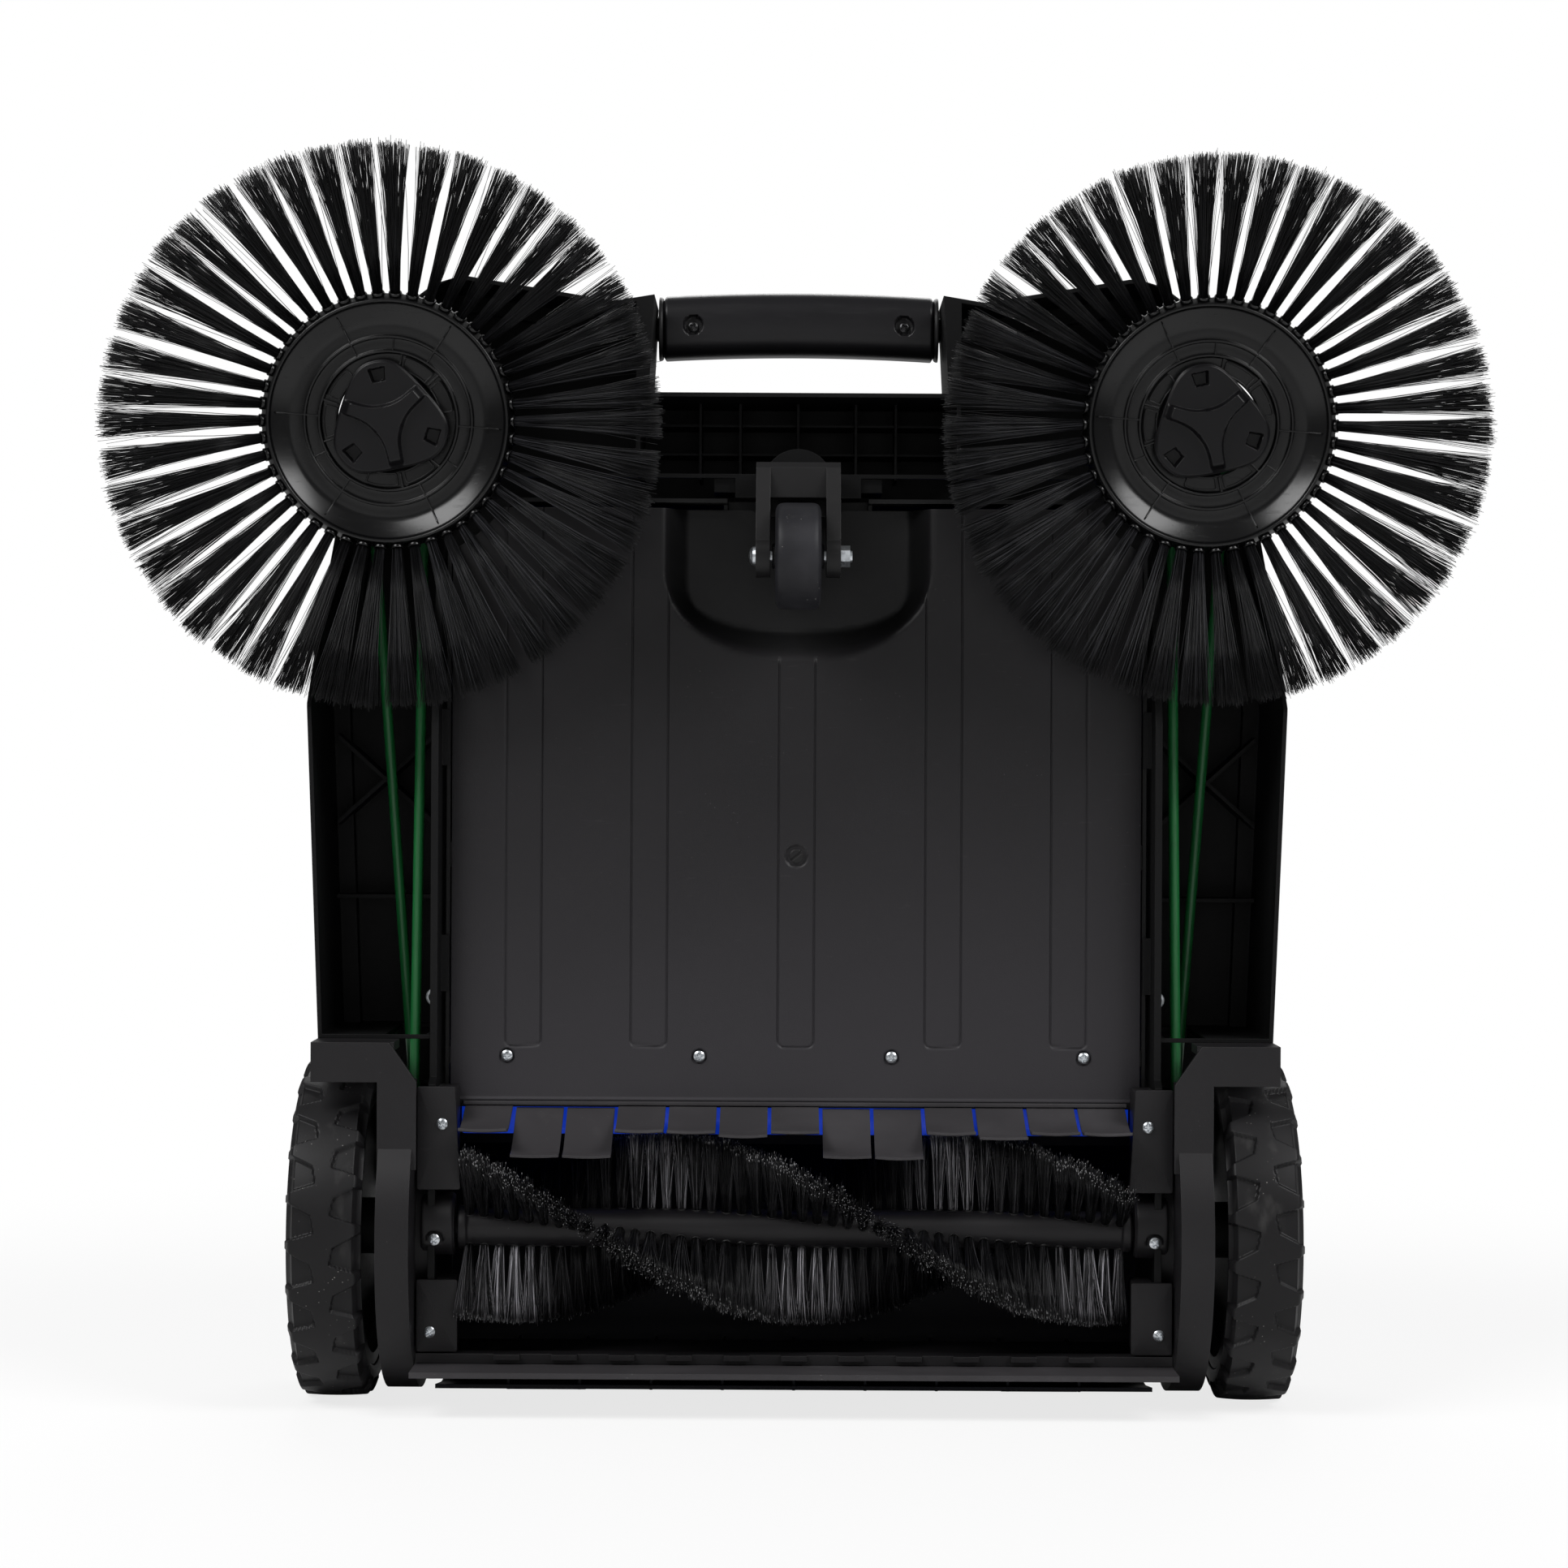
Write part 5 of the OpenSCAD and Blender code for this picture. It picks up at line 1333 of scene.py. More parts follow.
    def cap(self) -> Shell:
        """The cap as a height over a round grid with three flats.

        The rim's radius is the smaller of the lobe's and the flat's over the cosine of the
        angle from the nearest arm. The face stands up by a smooth step along the arms, whose
        distance is a smooth minimum, and falls into three square holes.

        Returns:
            The cap as a closed solid.
        """
        arms = self.first_arm + np.arange(3) * FULL_TURN / 3
        turns, rows = 300, 64
        lobe_r, flat_r, rim_soft, arm_soft = 41.5, 33.0, 4.0, 5.0
        arm_height, hole_depth, rim_drop, back = 6.0, 7.5, 1.3, 4.6
        angle = np.linspace(0, FULL_TURN, turns, endpoint=False)
        gap = np.min(np.abs((angle[:, None] - arms[None] + math.pi) % FULL_TURN - math.pi), 1)
        rim = -rim_soft * np.logaddexp(-flat_r / np.cos(gap) / rim_soft,
                                       -lobe_r / rim_soft) + 1.6
        share = np.linspace(0, 1, rows) ** 0.8
        radius = rim[:, None] * share[None]
        x, y = radius * np.cos(angle)[:, None], radius * np.sin(angle)[:, None]
        distance = []
        for arm in arms:
            on = x * math.cos(arm) + y * math.sin(arm)
            off = y * math.cos(arm) - x * math.sin(arm)
            distance.append(np.where(on > 0, np.abs(off), np.hypot(on, off)))
        near = -arm_soft * np.log(sum(np.exp(-d / arm_soft) for d in distance)) + 0.9
        along = np.max([x * math.cos(a) + y * math.sin(a) for a in arms], 0)
        raised = (1 - smoothstep(4.6, 6.4, near)) * (1 - smoothstep(27.0, 33.5, along))
        height = arm_height * raised
        for arm in arms + math.pi / 3:
            on = x * math.cos(arm) + y * math.sin(arm) - flat_r
            off = y * math.cos(arm) - x * math.sin(arm)
            wide = 4.9 + on * 0.12
            hole = (1 - smoothstep(4.2, 5.0, np.abs(on))) * (
                1 - smoothstep(wide - 0.4, wide + 0.4, np.abs(off)))
            height = height - hole_depth * hole
        height = height - rim_drop * smoothstep(0.955, 1.0, share)[None]
        face = np.stack([x, y, -4.0 - height], -1)
        wall_share = np.array([1.004, 1.008, 1.008])
        wall_place = np.array([-1.8, 0.0, back])
        wall = np.stack([
            rim[:, None] * wall_share * np.cos(angle)[:, None],
            rim[:, None] * wall_share * np.sin(angle)[:, None],
            np.broadcast_to(wall_place, (turns, 3)),
        ], -1)
        centre = np.zeros((turns, 1, 3))
        centre[..., 2] = back
        return woven(np.concatenate([face, wall, centre], 1), True, False, self.axis())

    def build(self, shop: Workshop) -> None:
        """Makes the brush's pieces.

        Args:
            shop: The workshop that puts meshes on bodies and dresses them.
        """
        name, body = side_name(self.side), f"side_brush_{side_name(self.side)}"
        shop.piece(f"brush_fibres_{name}", self.bristles(), Finish.BRISTLE, body,
                   [f"brush_bristles_{name}"], shells_turn=False, sharp=None)
        hub = shop.blacks[Black.HUB]
        shop.piece(f"brush_dish_{name}", self.dish(), Finish.BLACK, body,
                   [f"brush_disc_{name}"], material=hub)
        for part, shell in (("collars", self.sockets()), ("ribs", self.ribs()),
                            ("windows", self.windows())):
            shop.piece(f"brush_{part}_{name}", shell, Finish.BLACK, body, material=hub)
        shop.piece(f"brush_cap_cover_{name}", self.cap(), Finish.BLACK, body,
                   [f"brush_cap_{name}"], material=shop.blacks[Black.COVER])


# ------------------------------------------------------------------ sweeping roller


@dataclass
class SweepingRoller:
    """The roller: a tube with three helical rows of tufts."""

    height: float = ROLLER_HEIGHT
    z: float = 126.0
    core_r: float = 13.0
    half: float = 235.5
    tip_r: float = 67.0
    pitch: float = 10.6
    rows: int = 3
    helix: float = 612.0
    phase: float = math.radians(47)
    tufts_per_row: int = 44
    fibres_per_tuft: int = 200
    clumps: int = 5
    clump_pull: tuple[float, float] = (1.7, 1.5)
    short_above: float = 0.95
    fibre_r: float = 0.24
    sheen_at: float = math.pi * 0.95
    sheen_width: float = 0.3
    # the very pale light colour carries the painted sheen of the paler tufts
    skin: FibreSkin = FibreSkin("roller_fibre", (0.004, 0.004, 0.0045), (0.6, 0.585, 0.63),
                                (0.4, 0.4, 0.41))

    def tuft_places(self) -> tuple[np.ndarray, np.ndarray]:
        """X and angle of each tuft, where the angle grows evenly along the tube.

        Returns:
            The places along X, and the angles.
        """
        step = np.arange(self.tufts_per_row) - (self.tufts_per_row - 1) / 2
        x = np.tile(step, self.rows) * self.pitch
        row = np.repeat(np.arange(self.rows), self.tufts_per_row) / self.rows
        return x, self.phase + FULL_TURN * (x / self.helix + row)

    def out(self, angle: np.ndarray) -> np.ndarray:
        """The direction away from the axis at an angle from Z."""
        return np.stack([np.zeros_like(angle), -np.sin(angle), np.cos(angle)], -1)

    def bristles(self, row: int) -> Shell:
        """One row of tufts, whose fibres spread along the tube and round it to their tips.

        Tufts on the rear side and on the one across have a painted sheen: their fibres are
        paler by a bell of the angle from there, exp(-(angle / width)^2).

        Args:
            row: Number of the row, from 0.

        Returns:
            The row's fibres.
        """
        rng = np.random.default_rng(29 + row)
        x, angle = (part[row * self.tufts_per_row:][:self.tufts_per_row]
                    for part in self.tuft_places())
        tufts = len(x)
        count = tufts * self.fibres_per_tuft
        tuft = np.repeat(np.arange(tufts), self.fibres_per_tuft)
        disc, around = np.sqrt(rng.random(count)), rng.random(count) * FULL_TURN
        u, v = disc * np.cos(around), disc * np.sin(around)
        clump = rng.integers(0, self.clumps, count) + tuft * self.clumps
        pull_u, pull_v = (rng.normal(0, pull, tufts * self.clumps)[clump]
                          for pull in self.clump_pull)
        out = self.out(angle)[tuft]
        side = self.out(angle + math.pi / 2)[tuft]
        ex = np.array([1.0, 0.0, 0.0])
        middle = np.stack([x[tuft], np.full(count, self.height), np.full(count, self.z)], -1)
        length = self.tip_r - 1.5 + rng.normal(0, 1.0, count) - 5 * (
            rng.random(count) > self.short_above) * rng.random(count)
        root = middle + out * (self.core_r - 2) + ex * (u * 3.0)[:, None] + side * (
            v * 3.0)[:, None]
        spread_x = u * 6.2 + pull_u + rng.normal(0, 0.9, count)
        spread_v = v * 6.4 + pull_v + rng.normal(0, 1.1, count)
        tip = (middle + out * length[:, None] + ex * spread_x[:, None]
               + side * spread_v[:, None])
        bend = (ex * (rng.normal(0, 0.5, count) - u)[:, None]
                + side * (rng.normal(0, 0.9, count))[:, None])
        # painted sheen: tufts near the rear angle and the one across get paler fibres
        from_rear = (angle - self.sheen_at) % math.pi
        from_rear = np.minimum(from_rear, math.pi - from_rear)
        painted_sheen = 0.52 + 0.62 * np.exp(-(from_rear / self.sheen_width) ** 2)[tuft]
        return Fibres().grow(
            root, tip, bend, self.fibre_r * (0.85 + 0.3 * rng.random(count)),
            rng.random(count) * FULL_TURN, rng.random(count) * painted_sheen)

    def tube(self) -> Shell:
        """The tube, with a raised collar at each end.

        Returns:
            The tube as a closed solid.
        """
        half = self.half
        profile = rounded(
            [[8, -half], [self.core_r + 2.2, -half], [self.core_r + 2.2, 5.5 - half],
             [self.core_r, 7 - half], [self.core_r, half - 7],
             [self.core_r + 2.2, half - 5.5], [self.core_r + 2.2, half], [8, half]], 1.0, 3)
        axis = Axis.across(0, self.height, self.z)
        stub = rounded([[0.01, -251], [7.9, -251], [7.9, 251], [0.01, 251]], 0.3, 2)
        return turned(axis, profile, 48).joined(turned(axis, stub, 32, True))

    def sockets(self) -> Shell:
        """A thin ring round the foot of each tuft on the tube.

        Returns:
            The rings of all the tufts.
        """
        x, angle = self.tuft_places()
        ring = rounded([[3.2, -1.4], [4.1, -1.4], [4.1, 0.5], [3.2, 0.5]], 0.25, 2)
        made = []
        for place, a in zip(x, angle):
            out = self.out(np.array([a]))[0]
            side = self.out(np.array([a + math.pi / 2]))[0]
            foot = np.array([place, self.height, self.z]) + out * self.core_r
            made.append(turned(Axis(tuple(foot), (1, 0, 0), tuple(side), tuple(out)), ring, 12))
        return join_all(made)

    def build(self, shop: Workshop) -> None:
        """Makes the roller's pieces.

        Args:
            shop: The workshop that puts meshes on bodies and dresses them.
        """
        skin = self.skin.build()
        for row in range(self.rows):
            shop.piece(f"roller_fibres_{row + 1}", self.bristles(row), Finish.BRISTLE,
                       "roller", ["roller_bristles"] if row == 0 else [],
                       shells_turn=False, material=skin, sharp=None)
        shop.piece("roller_tube", self.tube(), Finish.BLACK, "roller", ["roller_core"],
                   material=shop.blacks[Black.GREY])
        shop.piece("roller_collars", self.sockets(), Finish.BLACK, "roller")


# ------------------------------------------------------------------ wheels


@dataclass
class TreadTyre:
    """A road tyre with two staggered rows of shallow pockets and ringed side walls."""

    side: int
    height: float = 120.0
    z: float = 120.0
    inner_x: float = 298.0
    width: float = 52.0
    radius: float = 120.0
    rim_r: float = 98.0
    pockets: int = 22
    depth: float = 3.2
    around: int = 22 * 40
    stagger: float = 0.66

    def tread_line(self) -> np.ndarray:
        """Pairs of (place across from the inner edge, radius) over shoulders and tread.

        Returns:
            One pair in a row, from the inner edge out.
        """
        t = np.linspace(-1, 1, 58)
        half = self.width / 2
        place = half * np.sign(t) * (1 - (1 - np.abs(t)) ** 1.25)
        drop = 1.2 * (np.abs(place) / half) ** 2 + 10.5 * smoothstep(
            0.80, 1.06, np.abs(place) / half) ** 1.5
        return np.stack([place + half, self.radius - drop], -1)

    def pocket(self, across: np.ndarray, arc: np.ndarray) -> np.ndarray:
        """Depth share of one row's pockets.

        A pocket runs from the edge to a slanted inner line: its lower line rises by 6.3 mm
        in 20.6 mm, and its upper line falls by 9.6 mm in 18.3 mm.

        Args:
            across: Distance in from the tyre's edge.
            arc: Distance along the tread, which repeats with each pocket.

        Returns:
            1 inside a pocket and 0 on a block, with steep smooth walls.
        """
        pitch = FULL_TURN * self.radius / self.pockets
        place = arc % pitch
        lower = 3.2 + across * 6.3 / 20.6
        upper = 31.0 - across * 9.6 / 18.3
        inner = 20.6 - (place - lower) * 0.19
        soft = 0.55
        return (smoothstep(-soft, soft, place - lower) * smoothstep(-soft, soft, upper - place)
                * smoothstep(-soft, soft, inner - across))

    def shell(self) -> Shell:
        """The tyre: tread, side walls and bead in one closed loop carried round.

        A pocket's floor lies under the tread by the depth, square to the tread's line, so it
        also notches the shoulders.

        Returns:
            The tyre as a closed solid.
        """
        line = self.tread_line()
        angle = np.linspace(0, FULL_TURN, self.around, endpoint=False)[:, None]
        turn = -self.side * angle
        pitch = FULL_TURN * self.radius / self.pockets
        arc = turn * self.radius
        across = line[None, :, 0]
        deep = self.pocket(self.width - across, arc) + self.pocket(
            across, arc + self.stagger * pitch)
        slope = unit(np.gradient(line, axis=0))
        radius = line[None, :, 1] - self.depth * deep * slope[None, :, 0]
        place = across + self.depth * deep * slope[None, :, 1]
        wall = rounded(
            [[self.width - 0.4, 107.5], [self.width - 0.2, 105.5], [self.width - 1.4, 104.8],
             [self.width - 1.4, 102.6], [self.width - 0.3, 102.0], [self.width - 1.8, 98.8],
             [self.width - 3.0, self.rim_r], [3.0, self.rim_r], [1.2, 99.0], [0.3, 102.5],
             [0.1, 107.5]], 0.5, 2, closed=False)
        ring = np.broadcast_to(wall[None], (self.around, *wall.shape))
        place = np.concatenate([place, ring[..., 0]], 1)
        radius = np.concatenate([radius, ring[..., 1]], 1)
        x = self.side * (self.inner_x + place)
        points = np.stack([x, self.height - radius * np.cos(angle),
                           self.z + radius * np.sin(angle)], -1)
        return woven(points, True, True)

    def build(self, shop: Workshop) -> None:
        """Makes the tyre.

        Args:
            shop: The workshop that puts meshes on bodies and dresses them.
        """
        name = side_name(self.side)
        shop.piece(f"tread_tyre_{name}", self.shell(), Finish.TYRE, f"wheel_{name}",
                   [f"tyre_{name}"], sharp=55.0)


@dataclass
class CastorWheel:
    """The castor's wheel: a soft tread over a hub with a recessed web."""

    height: float = 37.0
    z: float = 596.0
    radius: float = 37.0
    half_width: float = 16.0

    def shell(self) -> Shell:
        """The wheel as one turned profile.

        Returns:
            The wheel as a closed solid.
        """
        r, w = self.radius, self.half_width
        half = [[4.1, w + 2], [8.6, w + 2], [9.2, w - 2.4], [r - 12, w - 3.4],
                [r - 9.5, w - 0.8], [r - 6.5, w], [r - 1.6, w - 1.2], [r, w - 4.5]]
        profile = half + [[a, -b] for a, b in half[::-1]]
        radii = [0.5, 1, 1.5, 1.5, 1.2, 1.2, 2.4, 3.2]
        return turned(Axis.across(0, self.height, self.z),
                      rounded(profile, radii + radii[::-1], 4), 96)

    def build(self, shop: Workshop) -> None:
        """Makes the wheel."""
        shop.piece("castor_tread", self.shell(), Finish.CASTOR, "castor_roll",
                   ["castor_wheel"])


# ------------------------------------------------------------------ belts


@dataclass
class DriveBelt:
    """A round belt from the wheel's pulley to the tilted pulley on the brush shaft."""

    side: int
    radius: float = 3.75
    wheel_pulley_r: float = 38.0
    brush_pulley_r: float = 21.3
    pulley_x: float = 270.0
    wheel_at: tuple[float, float] = (120.0, 120.0)
    pulley_up: float = 56.0

    @staticmethod
    def run_angle(end: np.ndarray, radius: float, sense: int) -> float:
        """Angle of a run's touching point: the far end's, turned by acos(radius/distance)."""
        return math.atan2(end[1], end[0]) + sense * math.acos(radius / np.linalg.norm(end))

    def on_wheel(self, angle: np.ndarray) -> np.ndarray:
        """Points on the wheel pulley's pitch circle.

        Args:
            angle: Angles round the wheel's axle.

        Returns:
            One point for each angle.
        """
        height, z = self.wheel_at
        return np.stack([np.full_like(angle, self.pulley_x),
                         height + self.wheel_pulley_r * np.cos(angle),
                         z + self.wheel_pulley_r * np.sin(angle)], -1)

    def on_brush(self, angle: np.ndarray) -> np.ndarray:
        """Points on the brush pulley's pitch circle.

        Args:
            angle: Angles round the brush's shaft.

        Returns:
            One point for each angle.
        """
        cos, sin = math.cos(BRUSH_TILT), math.sin(BRUSH_TILT)
        x, height, z = BRUSH_AT
        p0, p1 = self.brush_pulley_r * np.cos(angle), self.brush_pulley_r * np.sin(angle)
        return np.stack([x + p0, height + p1 * sin + self.pulley_up * cos,
                         z - p1 * cos + self.pulley_up * sin], -1)

    def path(self) -> tuple[np.ndarray, np.ndarray]:
        """The belt's middle line and a vector square to it at each point.

        Returns:
            The points of the line, and as many vectors.
        """
        cos, sin = math.cos(BRUSH_TILT), math.sin(BRUSH_TILT)
        x, height, z = BRUSH_AT
        end = np.array([height + self.pulley_up * cos - self.wheel_at[0],
                        z + self.pulley_up * sin - self.wheel_at[1]])
        near_a = self.run_angle(end, self.wheel_pulley_r, 1)
        far_a = self.run_angle(end, self.wheel_pulley_r, -1)

        def seen(point: np.ndarray) -> np.ndarray:
            """A wheel-pulley point in the plane of the brush pulley.

            Args:
                point: A point on the wheel pulley.

            Returns:
                Its two places from the brush's shaft.
            """
            dh = point[1] - self.wheel_at[0] - end[0]
            dz = point[2] - self.wheel_at[1] - end[1]
            return np.array([point[0] - x, dh * sin - dz * cos])

        first = self.on_wheel(np.array([near_a, far_a]))
        inner_a = self.run_angle(seen(first[0]), self.brush_pulley_r, 1)
        outer_a = self.run_angle(seen(first[1]), self.brush_pulley_r, -1)
        ex, brush = np.array([1.0, 0, 0]), np.array([0, cos, sin])
        wheel_steps, brush_steps = 60, 40
        wheel_arc = self.on_wheel(np.linspace(near_a, far_a + FULL_TURN, wheel_steps))
        brush_arc = self.on_brush(np.linspace(outer_a, inner_a - FULL_TURN, brush_steps))
        t = np.linspace(0, 1, 22)[1:-1, None]
        blend = ex * np.cos(t * math.pi / 2) + brush * np.sin(t * math.pi / 2)
        out = wheel_arc[-1] * (1 - t) + brush_arc[0] * t
        back = brush_arc[-1] * (1 - t) + wheel_arc[0] * t
        line = np.concatenate([wheel_arc, out, brush_arc, back])
        square = np.concatenate([np.tile(ex, (wheel_steps, 1)), blend,
                                 np.tile(brush, (brush_steps, 1)), blend[::-1]])
        return line, square

    def build(self, shop: Workshop) -> None:
        """Makes the belt.

        Args:
            shop: The workshop that puts meshes on bodies and dresses them.
        """
        line, square = self.path()
        flip = np.array([self.side, 1, 1])
        name = side_name(self.side)
        shop.piece(f"round_belt_{name}",
                   swept_loop(line * flip, square * flip, self.radius, 16),
                   Finish.BELT, "chassis", [f"drive_belt_{name}"])


# ------------------------------------------------------------------ fasteners


@dataclass(frozen=True)
class PanScrew:
    """A domed pan head with a cross recess, and its shank."""

    x: float
    height: float
    z: float
    length: float
    turn: float = 0.3
    head_r: float = 4.0
    head_h: float = 2.6
    shank_r: float = 2.0
    slot_depth: float = 1.8

    def shell(self) -> Shell:
        """The head as a height over a round grid, with the shank behind it.

        The dome is head height (1 - 0.45 s^2.6) for the radius share s, and the recess is
        the smooth product of two crossed slots.

        Returns:
            The screw as a closed solid.
        """
        turns, rows = 64, 26
        angle = np.linspace(0, FULL_TURN, turns, endpoint=False)[:, None]
        share = np.linspace(0, 1, rows)[None]
        radius = self.head_r * share + 0 * angle
        angle = angle + self.turn
        x, y = radius * np.cos(angle), radius * np.sin(angle)
        dome = self.head_h * (1 - 0.45 * share ** 2.6)
        near = np.minimum(np.abs(x * math.cos(self.turn) + y * math.sin(self.turn)),
                          np.abs(y * math.cos(self.turn) - x * math.sin(self.turn)))
        slot = (1 - smoothstep(0.5, 0.8, near)) * (1 - smoothstep(2.2, 2.7, radius))
        face = np.stack([x, y, dome - self.slot_depth * slot], -1)
        back = np.array([[self.head_r, 0.2], [self.shank_r, 0.0], [self.shank_r, -self.length],
                         [0.0, -self.length]])
        return headed(Axis.upright(self.x, self.height, self.z), angle, face, back)


@dataclass
class Fasteners:
    """The cross-headed screws of the underside, with the washers in the side bays."""

    plate_places: tuple[tuple[float, float], ...] = ((246, 200), (254, 55))
    bay: tuple[float, float, float] = (264, 170, 281)
    long: float = 12
    short: float = 9

    def washer(self, side: int) -> Shell:
        """A flat ring under a bay screw's head.

        Args:
            side: Which side of the machine, -1 or 1.

        Returns:
            The washer as a closed solid.
        """
        x, height, z = self.bay
        ring = rounded([[2.1, 0], [6.2, 0], [6.2, -1.2], [2.1, -1.2]], 0.3, 2)
        return turned(Axis.upright(side * x, height, z), ring, 40)

    def build(self, shop: Workshop) -> None:
        """Makes the screws.

        Args:
            shop: The workshop that puts meshes on bodies and dresses them.
        """
        chassis = []
        for side in SIDES:
            for k, (x, z) in enumerate(self.plate_places):
                chassis.append(PanScrew(side * x, RollerEnds.face, z, self.long,
                                        0.5 + k + side).shell())
            x, z = RollerEnds.screw
            chassis.append(PanScrew(side * x, 46.6, z, self.short, 0.9 * side).shell())
            x, height, z = self.bay
            chassis.append(PanScrew(side * x, height, z, self.long, 0.2 * side).shell())
            chassis.append(self.washer(side))
        shop.piece("chassis_cross_screws", join_all(chassis), Finish.ZINC, "chassis",
                   ["chassis_screws"])
        floor = [PanScrew(x, HopperPanel.height, HopperPanel.screw_z, self.long,
                          0.37 * k).shell() for k, x in enumerate(FLOOR_SCREWS)]
        shop.piece("floor_cross_screws", join_all(floor), Finish.ZINC, "hopper",
                   ["floor_screws"])
        dark = PlatedSteel("blackened_screw", (0.05, 0.05, 0.052), (0.03, 0.03, 0.03)).build()
        grip = [PanScrew(side * CarryGrip.screw_x, 164, CarryGrip.z, self.long,
                         0.6 * side).shell() for side in SIDES]
        shop.piece("grip_cross_screws", join_all(grip), Finish.ZINC, "chassis",
                   ["grip_screws"], material=dark)


# ------------------------------------------------------------------ handle, flaps, bar


@dataclass
class CarryGrip:
    """The bowed carry grip with its end collars and screw recesses."""

    half: float = 98.5
    height: float = 178.0
    z: float = 771.0
    depth: float = 23.5
    thick: float = 19.0
    bow: float = 3.0
    screw_x: float = 77.0
    squareness: float = 2.5

    def shell(self) -> Shell:
        """A superellipse carried along the bow: |z/depth|^n + |h/thick|^n = 1.

        Returns:
            The grip as a closed solid.
        """
        rows, turns = 250, 132
        x = np.linspace(-self.half, self.half, rows)[:, None]
        angle = np.linspace(0, FULL_TURN, turns, endpoint=False)[None]
        cos, sin = np.cos(angle), np.sin(angle)
        power, seat_depth = 2 / self.squareness, 5.0
        end = 1 - 0.12 * smoothstep(self.half - 2.5, self.half, np.abs(x)) ** 2
        h = self.thick * np.sign(cos) * np.abs(cos) ** power * end
        z = self.depth * np.sign(sin) * np.abs(sin) ** power * end
        near = np.hypot(np.abs(x) - self.screw_x, z)
        hole = (1 - smoothstep(6.4, 7.4, near)) * (h < 0)
        h = h + hole * seat_depth
        middle = self.z + self.bow * (1 - (x / self.half) ** 2)
        grid = np.stack([np.broadcast_to(x, h.shape), self.height + h, middle + z], -1)
        caps = [grid[:1] * 0 + np.array([s * self.half, self.height, self.z]) for s in SIDES]
        return woven(np.concatenate([caps[0], grid, caps[1]]), False, True)

    def collars(self) -> Shell:
        """The two rings between the grip and the frame.

        Returns:
            Both rings.
        """
        made = []
        for side in SIDES:
            ring = rounded([[9, 98.8], [19.4, 98.8], [20.4, 100.2], [20.4, 102], [9, 102]],
                           0.5, 3)
            axis = Axis((0, self.height, self.z), (0, 1, 0), (0, 0, 1.14), (side, 0, 0))
            made.append(turned(axis, ring, 96))
        return join_all(made)

    def build(self, shop: Workshop) -> None:
        """Makes the grip.

        Args:
            shop: The workshop that puts meshes on bodies and dresses them.
        """
        shop.piece("grip_shell", self.shell(), Finish.GRIP, "chassis", ["carry_grip"],
                   sharp=60.0)
        shop.piece("grip_collars", self.collars(), Finish.BLACK, "chassis")


class Hang(Enum):
    """How a flap hangs: how far its end swings towards the roller, and its curl."""

    STRAIGHT = (31.0, 0.0)
    NEARLY = (20.0, 3.0)
    CURLED = (19.0, 5.5)


